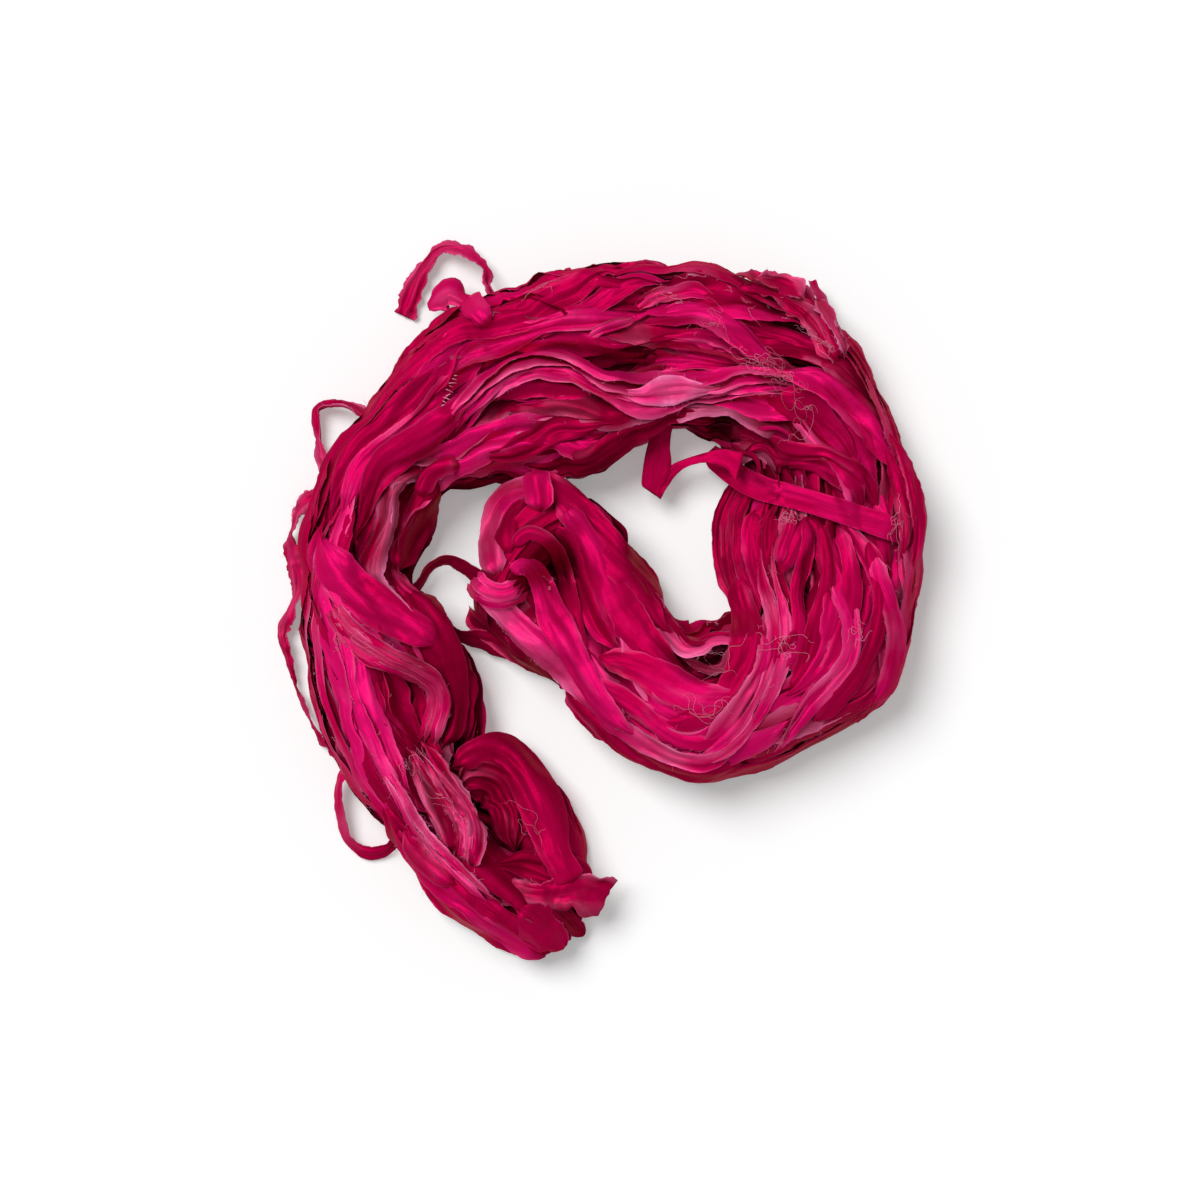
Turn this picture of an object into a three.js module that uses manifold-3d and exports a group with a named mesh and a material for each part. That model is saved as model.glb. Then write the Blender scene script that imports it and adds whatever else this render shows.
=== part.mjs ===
// A hank of sari silk ribbon, untwisted and laid on a table in a loose spiral.
// Millimetres, +Z up. The origin is under the middle of the whole outline, on the table.
import * as THREE from "three";
import { mergeVertices } from "three/addons/utils/BufferGeometryUtils.js";
import Module from "manifold-3d";

// Driving dimensions.
const ribbonThick = 1.2; // a crumpled strip with the air in its creases
const seatGap = 0.6; // growth of the hank that loose strips are cut back by, about 0.4 from its skin
const sections = 112; // rings along the hank
const crownSteps = 24; // facets over the crown from one side to the other
const waistShare = 0.34; // share of the crown height at which the hank is widest
const flatShare = 0.74; // share of the width that lies flat on the table
const tuckShare = 0.3; // how far in from the waist the tuck under it has come at its middle
const tuckHigh = 0.4; // share of the waist's height at that middle
const crownAcross = 0.85; // power of the ellipse across the crown: under 1 is squarer
const crownUp = 0.8; // power of the ellipse up the crown
const strands = 5; // main strands side by side across the crown
const strandDrift = 0.9; // how many strand widths they wander across
const driftWaves = 9; // radians of that wandering from end to end
const rippleDrift = 0.35; // a second, quicker wandering on top of it
const rippleWaves = 31;
const strandDepth = 6; // from a strand's back down to the furrow beside it
const strandRound = 0.75; // power of the wave that shapes a strand's back
const strandLevel = 0.62; // the wave's level that lies on the crown itself
const edgeWobble = 1.6;
const wobbleWaves = [95, 41]; // radians of the two waves of the edges' wobble
const endLength = 0.03; // share of the hank's rows over which an end rounds off
const endWidth = 0.45; // share of width and height left at the very end
const stripStep = 5; // length of one facet of a loose strip
const joinWithin = 1e-4; // corners closer than this are one

// The hank's outline and crown, one row for each section from its open tail to its looped end.
// ax, ay: the edge on the right hand when walking from tail to loop; bx, by: the other edge; high: crown.
const hankRows = [
  { ax: 3, ay: -197, bx: -21, by: -219, high: 17 },
  { ax: -10, ay: -166, bx: -50, by: -209, high: 25 },
  { ax: -23, ay: -125, bx: -85, by: -187, high: 31 },
  { ax: -59, ay: -91, bx: -113, by: -155, high: 35 },
  { ax: -74, ay: -87, bx: -131, by: -136, high: 37 },
  { ax: -77, ay: -66, bx: -146, by: -113, high: 38 },
  { ax: -80, ay: -45, bx: -168, by: -80, high: 40 },
  { ax: -88, ay: -18, bx: -176, by: -30, high: 40 },
  { ax: -113, ay: 14, bx: -176, by: 12, high: 36 },
  { ax: -100, ay: 44, bx: -172, by: 50, high: 37 },
  { ax: -92, ay: 64, bx: -159, by: 93, high: 39 },
  { ax: -71, ay: 67, bx: -126, by: 131, high: 42 },
  { ax: -43, ay: 71, bx: -92, by: 173, high: 45 },
  { ax: -9, ay: 80, bx: -38, by: 195, high: 46 },
  { ax: 31, ay: 101, bx: 28, by: 206, high: 46 },
  { ax: 68, ay: 98, bx: 85, by: 194, high: 45 },
  { ax: 84, ay: 83, bx: 146, by: 157, high: 44 },
  { ax: 86, ay: 71, bx: 168, by: 122, high: 45 },
  { ax: 84, ay: 59, bx: 184, by: 91, high: 46 },
  { ax: 75, ay: 30, bx: 195, by: 38, high: 47 },
  { ax: 83, ay: 4, bx: 187, by: -22, high: 45 },
  { ax: 75, ay: -6, bx: 162, by: -66, high: 44 },
  { ax: 59, ay: -12, bx: 114, by: -94, high: 43 },
  { ax: 46, ay: -9, bx: 58, by: -107, high: 42 },
  { ax: 42, ay: 3, bx: 4, by: -86, high: 41 },
  { ax: 33, ay: 18, bx: -23, by: -54, high: 41 },
  { ax: 6, ay: 45, bx: -53, by: -30, high: 41 },
  { ax: -21, ay: 65, bx: -77, by: -2, high: 38 },
  { ax: -43, ay: 76, bx: -67, by: 43, high: 27 },
];

// Hollows in the crown: the eye inside the looped end, and the open cup of the tail.
const hollows = [
  { x: -31, y: 22, along: 16, across: 9, deep: 0.72 },
  { x: -57, y: -143, along: 24, across: 11, deep: 0.5 },
];

// Loose strips, each a row for a bend: place, width and roll (0 lies flat, 90 stands on its edge).
const strips = {
  curl_end: [
    { x: -62, y: 176, z: 20, wide: 8, roll: 60 },
    { x: -67, y: 190, z: 17, wide: 7, roll: 60 },
    { x: -69, y: 200, z: 14, wide: 8, roll: 55 },
    { x: -77, y: 208, z: 11, wide: 9, roll: 40 },
    { x: -87, y: 211, z: 9, wide: 9, roll: 30 },
    { x: -97, y: 210, z: 7, wide: 11, roll: 25 },
    { x: -106, y: 202, z: 5, wide: 12, roll: 25 },
    { x: -112, y: 191, z: 4, wide: 13, roll: 15 },
    { x: -119, y: 174, z: 1.5, wide: 12, roll: 4 },
  ],
  folded_end: [
    { x: -62, y: 168, z: 27, wide: 16, roll: 10 },
    { x: -76, y: 178, z: 23, wide: 18, roll: 10 },
    { x: -88, y: 184, z: 16, wide: 18, roll: 20 },
    { x: -99, y: 181, z: 9, wide: 13, roll: 25 },
  ],
  left_loop: [
    { x: -138, y: 109, z: 14, wide: 7, roll: 35 },
    { x: -150, y: 117, z: 13, wide: 7, roll: 40 },
    { x: -160, y: 118, z: 10, wide: 7, roll: 50 },
    { x: -170, y: 115, z: 7, wide: 8, roll: 60 },
    { x: -171, y: 107, z: 5.5, wide: 9, roll: 50 },
    { x: -169, y: 95, z: 5, wide: 9, roll: 45 },
    { x: -167, y: 83, z: 6, wide: 9, roll: 45 },
    { x: -162, y: 73, z: 9, wide: 8, roll: 45 },
    { x: -152, y: 64, z: 12, wide: 7, roll: 40 },
  ],
  side_strand: [
    { x: -158, y: 65, z: 15, wide: 8, roll: 20 },
    { x: -170, y: 63, z: 14, wide: 9, roll: 25 },
    { x: -180, y: 56, z: 11, wide: 9, roll: 50 },
    { x: -186, y: 42, z: 8, wide: 7, roll: 65 },
    { x: -187, y: 26, z: 6, wide: 7, roll: 70 },
    { x: -184, y: 12, z: 5, wide: 8, roll: 60 },
    { x: -186, y: -4, z: 5, wide: 8, roll: 60 },
    { x: -193, y: -16, z: 5, wide: 8, roll: 60 },
    { x: -190, y: -32, z: 5, wide: 7, roll: 60 },
    { x: -184, y: -50, z: 5, wide: 6, roll: 60 },
    { x: -177, y: -68, z: 6, wide: 6, roll: 60 },
    { x: -168, y: -84, z: 8, wide: 6, roll: 55 },
    { x: -155, y: -98, z: 12, wide: 6, roll: 50 },
  ],
  tail_loop: [
    { x: -148, y: -94, z: 14, wide: 7, roll: 60 },
    { x: -156, y: -110, z: 11, wide: 7, roll: 65 },
    { x: -155, y: -128, z: 8, wide: 7, roll: 60 },
    { x: -151, y: -143, z: 6, wide: 7, roll: 50 },
    { x: -141, y: -152, z: 5, wide: 8, roll: 40 },
    { x: -130, y: -151, z: 6, wide: 8, roll: 45 },
    { x: -122, y: -141, z: 9, wide: 8, roll: 55 },
    { x: -116, y: -128, z: 13, wide: 8, roll: 60 },
  ],
  fold_strand: [
    { x: 44, y: 112, z: 24, wide: 12, roll: 20 },
    { x: 40, y: 98, z: 22, wide: 14, roll: 25 },
    { x: 35, y: 82, z: 19, wide: 14, roll: 40 },
    { x: 33, y: 69, z: 17, wide: 13, roll: 75 },
    { x: 40, y: 65, z: 17, wide: 13, roll: 80 },
    { x: 50, y: 74, z: 19, wide: 14, roll: 55 },
    { x: 63, y: 84, z: 23, wide: 13, roll: 40 },
    { x: 78, y: 87, z: 27, wide: 12, roll: 30 },
    { x: 98, y: 80, z: 30, wide: 13, roll: 20 },
  ],
  inner_strand: [
    { x: -34, y: 90, z: 13, wide: 6, roll: 60 },
    { x: -20, y: 80, z: 11, wide: 7, roll: 60 },
    { x: -2, y: 79, z: 10, wide: 8, roll: 60 },
    { x: 10, y: 87, z: 12, wide: 7, roll: 60 },
    { x: 22, y: 95, z: 15, wide: 6, roll: 55 },
    { x: 36, y: 106, z: 18, wide: 6, roll: 50 },
  ],
  upper_bridge: [
    { x: -120, y: 0, z: 12, wide: 7, roll: 50 },
    { x: -109, y: 9, z: 13, wide: 7, roll: 55 },
    { x: -102, y: 19, z: 15, wide: 7, roll: 60 },
    { x: -91, y: 24, z: 17, wide: 7, roll: 55 },
    { x: -80, y: 19, z: 18, wide: 8, roll: 45 },
    { x: -66, y: 8, z: 18, wide: 9, roll: 35 },
  ],
  lower_bridge: [
    { x: -112, y: 2, z: 8, wide: 12, roll: 25 },
    { x: -97, y: -12, z: 8, wide: 12, roll: 30 },
    { x: -86, y: -21, z: 8, wide: 10, roll: 35 },
    { x: -72, y: -24, z: 9, wide: 11, roll: 35 },
    { x: -60, y: -27, z: 10, wide: 13, roll: 30 },
    { x: -44, y: -32, z: 11, wide: 13, roll: 30 },
  ],
  tail_frill: [
    { x: -68, y: -170, z: 27, wide: 12, roll: 15 },
    { x: -57, y: -173, z: 30, wide: 14, roll: -5 },
    { x: -43, y: -175, z: 30, wide: 15, roll: -12 },
    { x: -29, y: -176, z: 27, wide: 14, roll: 5 },
    { x: -16, y: -175, z: 25, wide: 17, roll: -6 },
    { x: -6, y: -176, z: 22, wide: 26, roll: 4 },
    { x: 4, y: -180, z: 18, wide: 28, roll: 12 },
  ],
  frayed_tip: [
    { x: 128, y: 158, z: 22, wide: 12, roll: 30 },
    { x: 134, y: 170, z: 19, wide: 11, roll: 35 },
    { x: 133, y: 182, z: 15, wide: 9, roll: 40 },
    { x: 128, y: 193, z: 12, wide: 5, roll: 45 },
  ],
};

// Colours as the silk shows: deep crimson in the wound turns, pinker where a strip lies alone.
const silk = new THREE.MeshStandardMaterial({ color: 0xb00a4c, roughness: 0.5, metalness: 0 });
const silkLight = new THREE.MeshStandardMaterial({ color: 0xc81a5e, roughness: 0.45, metalness: 0 });

const wasm = await Module();
wasm.setup();

// A closed three.js geometry as a solid, and a solid back as a geometry.
function toSolid(geometry) {
  const bare = geometry.clone();
  bare.deleteAttribute("normal");
  bare.deleteAttribute("uv");
  const merged = mergeVertices(bare, joinWithin);
  return new wasm.Manifold(
    new wasm.Mesh({
      numProp: 3,
      vertProperties: merged.attributes.position.array,
      triVerts: new Uint32Array(merged.index.array),
    }),
  );
}

function toGeometry(solid) {
  const mesh = solid.getMesh();
  const geometry = new THREE.BufferGeometry();
  geometry.setAttribute("position", new THREE.BufferAttribute(mesh.vertProperties, 3));
  geometry.setIndex(new THREE.BufferAttribute(mesh.triVerts, 1));
  return geometry;
}

// Rings of points, each as long as the next, joined into one closed skin with a fan at each end.
function skin(rings) {
  const count = rings[0].length;
  const points = rings.flat();
  const index = [];
  for (let r = 0; r + 1 < rings.length; r++)
    for (let k = 0; k < count; k++) {
      const a = r * count + k;
      const b = r * count + ((k + 1) % count);
      index.push(a, b, b + count, a, b + count, a + count);
    }
  for (const [ring, first] of [[rings[0], 0], [rings.at(-1), (rings.length - 1) * count]]) {
    const middle = new THREE.Vector3();
    for (const p of ring) middle.addScaledVector(p, 1 / count);
    points.push(middle);
    for (let k = 0; k < count; k++) {
      const a = first + k;
      const b = first + ((k + 1) % count);
      index.push(...(first === 0 ? [b, a] : [a, b]), points.length - 1);
    }
  }
  const geometry = new THREE.BufferGeometry().setFromPoints(points);
  geometry.setIndex(index);
  return geometry;
}

const smooth = (points) => new THREE.CatmullRomCurve3(points, false, "catmullrom", 0.5);
const rightEdge = smooth(hankRows.map((r) => new THREE.Vector3(r.ax, r.ay, r.high)));
const leftEdge = smooth(hankRows.map((r) => new THREE.Vector3(r.bx, r.by, r.high)));

// How far the eye and the cups press the crown down at a place on the table.
function hollowAt(x, y, along) {
  let share = 1;
  for (const h of hollows) {
    const dx = x - h.x;
    const dy = y - h.y;
    const lengthwise = (dx * along.x + dy * along.y) / h.along;
    const crosswise = (dx * -along.y + dy * along.x) / h.across;
    share *= 1 - h.deep * Math.exp(-(lengthwise ** 2) - crosswise ** 2);
  }
  return share;
}

// How a strand's round back stands above or below the crown at a place across the width.
function strandAt(u, t) {
  const drift = strandDrift * Math.sin(t * driftWaves) + rippleDrift * Math.sin(t * rippleWaves + 1.5 * u);
  const wave = Math.abs(Math.sin((Math.PI / 2) * (strands * (u + 1) + 2 * drift)));
  return strandDepth * (wave ** strandRound - strandLevel);
}

// The edges' short wobble, none at the middle of the width.
function wobbleAt(u, t) {
  const [quick, slow] = wobbleWaves;
  return edgeWobble * u * Math.sin(t * quick + 2 * u) * Math.sin(t * slow + u);
}

// Share of width and height at a place along the hank: 1, rounding off towards either end.
function roundingAt(t) {
  const endShare = Math.min(1, t / endLength, (1 - t) / endLength);
  return endWidth + (1 - endWidth) * Math.sqrt(1 - (1 - endShare) ** 2);
}

// One ring of the hank: a strand-ridged crown above its waist, and a flat underside on the table.
// Grown, every point moves outwards.
function hankRing(t, grow) {
  const a = rightEdge.getPoint(t);
  const b = leftEdge.getPoint(t);
  const middle = a.clone().add(b).multiplyScalar(0.5);
  const across = b.clone().sub(a);
  const half = across.length() / 2;
  across.setZ(0).normalize();
  const along = new THREE.Vector2(across.y, -across.x);
  const rounding = roundingAt(t);
  const high = middle.z * rounding;
  const ring = [];
  const place = (u, z, outwards) => {
    const reach = half * rounding * u + wobbleAt(u, t) + grow * outwards;
    ring.push(new THREE.Vector3(middle.x + across.x * reach, middle.y + across.y * reach, z));
    return ring.at(-1);
  };
  for (let k = 0; k <= crownSteps; k++) {
    const turn = (Math.PI * k) / crownSteps;
    const u = Math.sign(Math.cos(turn)) * Math.abs(Math.cos(turn)) ** crownAcross;
    const lift = Math.sin(turn) ** crownUp;
    const point = place(u, 0, u);
    const crown = high * (waistShare + (1 - waistShare) * lift);
    const ridge = strandAt(u, t) * Math.sqrt(lift) * rounding;
    point.z = crown * hollowAt(point.x, point.y, along) + ridge + grow;
  }
  const bow = 1 - (1 - flatShare) * tuckShare;
  place(-bow, high * waistShare * tuckHigh, -1);
  place(-flatShare, -grow, -1);
  place(flatShare, -grow, 1);
  place(bow, high * waistShare * tuckHigh, 1);
  return ring;
}

function hankSkin(grow) {
  const rings = [];
  for (let i = 0; i <= sections; i++) rings.push(hankRing(i / sections, grow));
  return skin(rings);
}

// A loose strip: a thin rectangle carried along its route and rolled about it.
function stripSkin(rows) {
  const route = smooth(rows.map((r) => new THREE.Vector3(r.x, r.y, r.z)));
  const shape = smooth(rows.map((r) => new THREE.Vector3(r.wide, r.roll, 0)));
  const steps = Math.ceil(route.getLength() / stripStep);
  const rings = [];
  for (let i = 0; i <= steps; i++) {
    const t = i / steps;
    const at = route.getPoint(t);
    const ahead = route.getTangent(t);
    const { x: wide, y: roll } = shape.getPoint(t);
    const side = new THREE.Vector3(-ahead.y, ahead.x, 0).normalize();
    side.applyAxisAngle(ahead, THREE.MathUtils.degToRad(roll));
    const face = new THREE.Vector3().crossVectors(ahead, side);
    const corner = (u, v) =>
      at.clone().addScaledVector(side, (u * wide) / 2).addScaledVector(face, (v * ribbonThick) / 2);
    rings.push([corner(-1, -1), corner(1, -1), corner(1, 1), corner(-1, 1)]);
  }
  return skin(rings);
}

// The strip as far as it shows, with everything that lies inside the hank cut away.
function looseStrip(rows, hankGrown) {
  const pieces = toSolid(stripSkin(rows)).subtract(hankGrown).decompose();
  pieces.sort((p, q) => q.volume() - p.volume());
  return toGeometry(pieces[0]);
}

const group = new THREE.Group();
function add(name, geometry, material) {
  const mesh = new THREE.Mesh(geometry, material);
  mesh.name = name;
  group.add(mesh);
}

add("hank", hankSkin(0), silk);
const hankGrown = toSolid(hankSkin(seatGap));
for (const [name, rows] of Object.entries(strips)) add(name, looseStrip(rows, hankGrown), silkLight);

export default group;
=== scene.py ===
import math

import bpy
import numpy as np
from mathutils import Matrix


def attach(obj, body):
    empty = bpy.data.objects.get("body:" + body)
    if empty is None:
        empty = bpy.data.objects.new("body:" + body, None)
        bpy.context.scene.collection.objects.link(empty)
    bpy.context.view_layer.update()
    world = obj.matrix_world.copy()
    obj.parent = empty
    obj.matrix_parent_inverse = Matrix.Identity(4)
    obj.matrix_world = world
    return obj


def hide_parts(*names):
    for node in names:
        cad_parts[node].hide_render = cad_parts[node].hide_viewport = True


# A hank of sari silk ribbon that lies doubled in a spiral. Turns are laid in layers, each on the pile of
# those below; then come the ribbons of its face, the underside, the loose ends and the threads.
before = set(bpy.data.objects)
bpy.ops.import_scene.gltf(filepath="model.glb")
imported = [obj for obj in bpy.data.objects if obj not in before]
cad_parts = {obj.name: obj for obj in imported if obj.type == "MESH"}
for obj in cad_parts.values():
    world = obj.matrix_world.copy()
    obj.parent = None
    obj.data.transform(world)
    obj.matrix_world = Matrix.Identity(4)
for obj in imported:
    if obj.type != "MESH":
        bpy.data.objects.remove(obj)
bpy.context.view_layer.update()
rng = np.random.default_rng(23)
mm = 0.001  # every table below is in millimetres

studio = {
    "viewWidth": 720,  # how much of the table the picture takes in
    "lens": 85,
    "centre": (0.6, 0),
    "stand": 20,  # how far the camera is raised, so that the picture's width is right at the hank
    "keyFrom": (-520, 520, 1000),
    "keySpread": 34,  # degrees of sky that the key light fills
    "keyStrength": 2.4,
    "roomLight": 0.34,
    "tableColour": (0.86, 0.86, 0.86, 1),
    "tableRoughness": 0.9,
    "tableGloss": 0.1,
    "tableLift": 0.25,  # added for the camera only, so that the table reads as white
    "tableHalf": 3000,
    "tableBelow": 0.3,  # gap that keeps the table clear of the lowest cloth
}


def addObject(name, data):
    made = bpy.data.objects.new(name, data)
    bpy.context.scene.collection.objects.link(made)
    return made


def addMaterial(name):
    material = bpy.data.materials.new(name)
    material.use_nodes = True
    nodes, links = material.node_tree.nodes, material.node_tree.links
    return material, nodes, links, nodes["Principled BSDF"]


def makeCamera(values):
    scene = bpy.context.scene
    camera = bpy.data.cameras.new("camera")
    camera.lens = values["lens"]
    distance = values["viewWidth"] * camera.lens / camera.sensor_width + values["stand"]
    scene.camera = addObject("camera", camera)
    scene.camera.location = (values["centre"][0] * mm, values["centre"][1] * mm, distance * mm)
    scene.view_settings.view_transform = "Standard"


def makeKeyLight(values):
    key = bpy.data.lights.new("key", "SUN")
    key.angle = math.radians(values["keySpread"])
    key.energy = values["keyStrength"]
    keyObject = addObject("key", key)
    x, y, z = values["keyFrom"]
    keyObject.location = (x * mm, y * mm, z * mm)
    keyObject.rotation_euler = (math.atan2(math.hypot(x, y), z), 0, math.atan2(y, x) + math.pi / 2)


def seenDirectly(nodes, links):
    # 1 for what the camera, a mirror or glass shows, 0 for the light that falls on things.
    path = nodes.new("ShaderNodeLightPath")
    mirrored = nodes.new("ShaderNodeMath")
    mirrored.operation = "MAXIMUM"
    links.new(path.outputs["Is Camera Ray"], mirrored.inputs[0])
    links.new(path.outputs["Is Glossy Ray"], mirrored.inputs[1])
    seen = nodes.new("ShaderNodeMath")
    seen.operation = "MAXIMUM"
    links.new(mirrored.outputs[0], seen.inputs[0])
    links.new(path.outputs["Is Transmission Ray"], seen.inputs[1])
    return seen.outputs[0]


def makeRoom(values):
    world = bpy.data.worlds.new("room")
    world.use_nodes = True
    bpy.context.scene.world = world
    nodes, links = world.node_tree.nodes, world.node_tree.links
    nodes.clear()
    strength = nodes.new("ShaderNodeMix")
    strength.inputs["A"].default_value = values["roomLight"]
    strength.inputs["B"].default_value = 1
    links.new(seenDirectly(nodes, links), strength.inputs["Factor"])
    background = nodes.new("ShaderNodeBackground")
    links.new(strength.outputs["Result"], background.inputs["Strength"])
    output = nodes.new("ShaderNodeOutputWorld")
    links.new(background.outputs[0], output.inputs["Surface"])


def makeTable(values):
    half, height = values["tableHalf"] * mm, -values["tableBelow"] * mm
    corners = [(-half, -half, height), (half, -half, height), (half, half, height), (-half, half, height)]
    mesh = bpy.data.meshes.new("table_top")
    mesh.from_pydata(corners, [], [(0, 1, 2, 3)])
    material, nodes, links, principled = addMaterial("table_white")
    principled.inputs["Base Color"].default_value = values["tableColour"]
    principled.inputs["Roughness"].default_value = values["tableRoughness"]
    principled.inputs["Specular IOR Level"].default_value = values["tableGloss"]
    lift = nodes.new("ShaderNodeMath")
    lift.operation = "MULTIPLY"
    lift.inputs[1].default_value = values["tableLift"]
    links.new(seenDirectly(nodes, links), lift.inputs[0])
    glow = nodes.new("ShaderNodeEmission")
    links.new(lift.outputs[0], glow.inputs["Strength"])
    both = nodes.new("ShaderNodeAddShader")
    links.new(principled.outputs[0], both.inputs[0])
    links.new(glow.outputs[0], both.inputs[1])
    links.new(both.outputs[0], nodes["Material Output"].inputs["Surface"])
    mesh.materials.append(material)
    addObject("table_top", mesh)


makeCamera(studio)
makeKeyLight(studio)
makeRoom(studio)
makeTable(studio)
print("camera, light and table are up")

# The hank as it lies: x and y of one edge, x and y of the other, height of its crown,
# a row for each section from the open tail to the looped end.
hank = {
    "rows": [
        (0, -198, -22, -219, 17), (-12, -166, -50, -209, 25), (-23, -124, -85, -187, 31),
        (-59, -92, -113, -155, 35), (-74, -88, -131, -136, 37), (-77, -66, -146, -113, 38),
        (-80, -45, -168, -80, 40), (-88, -18, -176, -30, 40), (-113, 14, -176, 12, 36),
        (-98, 43, -172, 50, 37), (-91, 63, -159, 93, 39), (-71, 67, -126, 131, 42),
        (-43, 71, -92, 173, 45), (-9, 80, -38, 195, 46), (31, 102, 28, 206, 46),
        (68, 98, 85, 193, 45), (84, 83, 146, 157, 44), (86, 71, 168, 122, 45),
        (84, 59, 184, 91, 46), (73, 30, 194, 38, 47), (83, 4, 187, -22, 45),
        (75, -6, 162, -66, 44), (59, -12, 114, -94, 43), (47, -7, 58, -107, 42),
        (43, 4, 4, -86, 41), (34, 19, -23, -54, 41), (7, 46, -53, -30, 41),
        (-21, 65, -77, -2, 38), (-41, 78, -65, 45, 27),
    ],
    "waist": 0.34,  # share of the crown's height at which the hank is widest
    "flat": 0.74,  # share of its width that lies on the table
    "squared": (0.85, 0.8),  # powers that square the crown, across and upwards: 1 is a true ellipse
    "usualSize": (52, 42),  # half width and height by which the way round a section is measured
    "sectionPoints": (121, 20),  # over the crown, and in each tuck below it
    # tail and looped end: how far back from the tip it rounds off, and its width there
    "tips": [(20, 0.6), (15, 0.8)],
    "wobble": 2.2,  # how far each side strays in and out
    "slim": (3.5, 10.5),  # how much the two sides are drawn in, because the ribbons stand proud of them
    # hollows: x, y, half length along the hank, half width, share of the height pressed away
    "hollows": [(-32, 18, 18, 11, 0.9), (-57, -143, 26, 11, 0.5), (-69, -160, 8, 8, 0.3)],
}


def curveThrough(rows, t):
    # Catmull-Rom: a cubic in each span, whose slope at a row is half the step between its neighbours.
    rows = np.asarray(rows, float)
    last = len(rows) - 1
    x = np.clip(t * last, 0, last - 1e-9)
    i = x.astype(int)
    f = (x - i)[..., None]
    here, after = rows[i], rows[i + 1]
    before = np.where((i == 0)[..., None], 2 * here - after, rows[np.maximum(i - 1, 0)])
    beyond = np.where((i == last - 1)[..., None], 2 * after - here, rows[np.minimum(i + 2, last)])
    square = 2 * before - 5 * here + 4 * after - beyond
    cube = 3 * here - before - 3 * after + beyond
    return 0.5 * (2 * here + (after - before) * f + square * f**2 + cube * f**3)


def runningLength(points):
    steps = np.linalg.norm(np.diff(points, axis=0), axis=1)
    return np.concatenate([[0], np.cumsum(steps)])


def makeSection(values):
    # One section, table to table over the crown, as shares of half width and of height.
    # Above the waist it is a squared half ellipse; below, a quarter ellipse tucks in to the table.
    crownPoints, tuckPoints = values["sectionPoints"]
    turn = np.linspace(math.pi, 0, crownPoints)
    crownAcross = np.sign(np.cos(turn)) * np.abs(np.cos(turn)) ** values["squared"][0]
    crownHigh = values["waist"] + (1 - values["waist"]) * np.maximum(np.sin(turn), 0) ** values["squared"][1]
    tuck = np.linspace(0, math.pi / 2, tuckPoints + 1)[:-1]
    tuckAcross = values["flat"] + (1 - values["flat"]) * np.sin(tuck)
    tuckHigh = values["waist"] * (1 - np.cos(tuck))
    across = np.concatenate([-tuckAcross, crownAcross, tuckAcross[::-1]])
    high = np.concatenate([tuckHigh, crownHigh, tuckHigh[::-1]])
    girth = runningLength(np.stack([across, high], -1) * values["usualSize"])
    return 2 * girth / girth[-1] - 1, across, high


def wander(x, wavelength):
    # Sum of three sines, each shorter and weaker than the last, with random phases: about -1 to 1.
    total = 0
    for k, weight in enumerate((1.0, 0.55, 0.3)):
        total = total + weight * np.sin(2 * math.pi * x * 1.73**k / wavelength + rng.uniform(0, 2 * math.pi))
    return total / 1.4


def middleAndHalf(spot):
    # Middle of the hank, half its width as a vector, and its crown's height, at a share of its rows.
    edges = curveThrough(hank["rows"], spot)
    return (edges[..., 0:2] + edges[..., 2:4]) / 2, (edges[..., 2:4] - edges[..., 0:2]) / 2, edges[..., 4]


sectionTurn, sectionAcross, sectionHigh = makeSection(hank)
rowShare = np.linspace(0, 1, 2001)
hankAlong = runningLength(middleAndHalf(rowShare)[0])
hankLength = hankAlong[-1]


def turnAt(across):
    # How far round the section, -1 to 1, a place lies that is seen from above at -1 to 1 across.
    tucked = hank["sectionPoints"][1]
    crown = slice(tucked, -tucked)
    return np.interp(across, sectionAcross[crown], sectionTurn[crown])


edgeWobble = [hank["wobble"] * wander(hankAlong, 75), hank["wobble"] * wander(hankAlong, 75)]


def tipRounding(along):
    # Width left at a place near a tip: a quarter ellipse from the tip's own share up to 1.
    rounding = 1
    for toTip, (reach, share) in zip((along, hankLength - along), hank["tips"]):
        inside = 1 - np.clip(toTip / reach, 0, 1)
        rounding = rounding * (share + (1 - share) * np.sqrt(1 - inside**2))
    return rounding


def hankPoint(along, turn, pressed=False):
    # Surface of the hank: along runs 0 to its length in mm, turn runs -1 to 1 from table to table.
    # Pressed, it sinks in a soft round trough at each hollow.
    spot = np.interp(along, hankAlong, rowShare)
    middle, half, crownHeight = middleAndHalf(spot)
    width = np.linalg.norm(half, axis=-1, keepdims=True)
    rounding = tipRounding(along)
    across = np.interp(turn, sectionTurn, sectionAcross) * rounding
    high = np.interp(turn, sectionTurn, sectionHigh) * rounding * crownHeight
    wobble = np.where(across < 0, *(np.interp(spot, rowShare, side) for side in edgeWobble))
    slim = np.where(across < 0, *hank["slim"])
    flat = middle + half * (1 + (wobble - slim)[..., None] / width) * across[..., None]
    heading = np.stack([half[..., 1], -half[..., 0]], -1) / width
    for x, y, alongHalf, acrossHalf, share in hank["hollows"] * pressed:
        dx, dy = flat[..., 0] - x, flat[..., 1] - y
        lengthwise = (dx * heading[..., 0] + dy * heading[..., 1]) / alongHalf
        crosswise = (dy * heading[..., 0] - dx * heading[..., 1]) / acrossHalf
        high = high * (1 - share * np.exp(-(lengthwise**2) - crosswise**2))
    return np.concatenate([flat, high[..., None]], -1)


def unit(vectors):
    return vectors / np.maximum(np.linalg.norm(vectors, axis=-1, keepdims=True), 1e-9)


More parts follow.
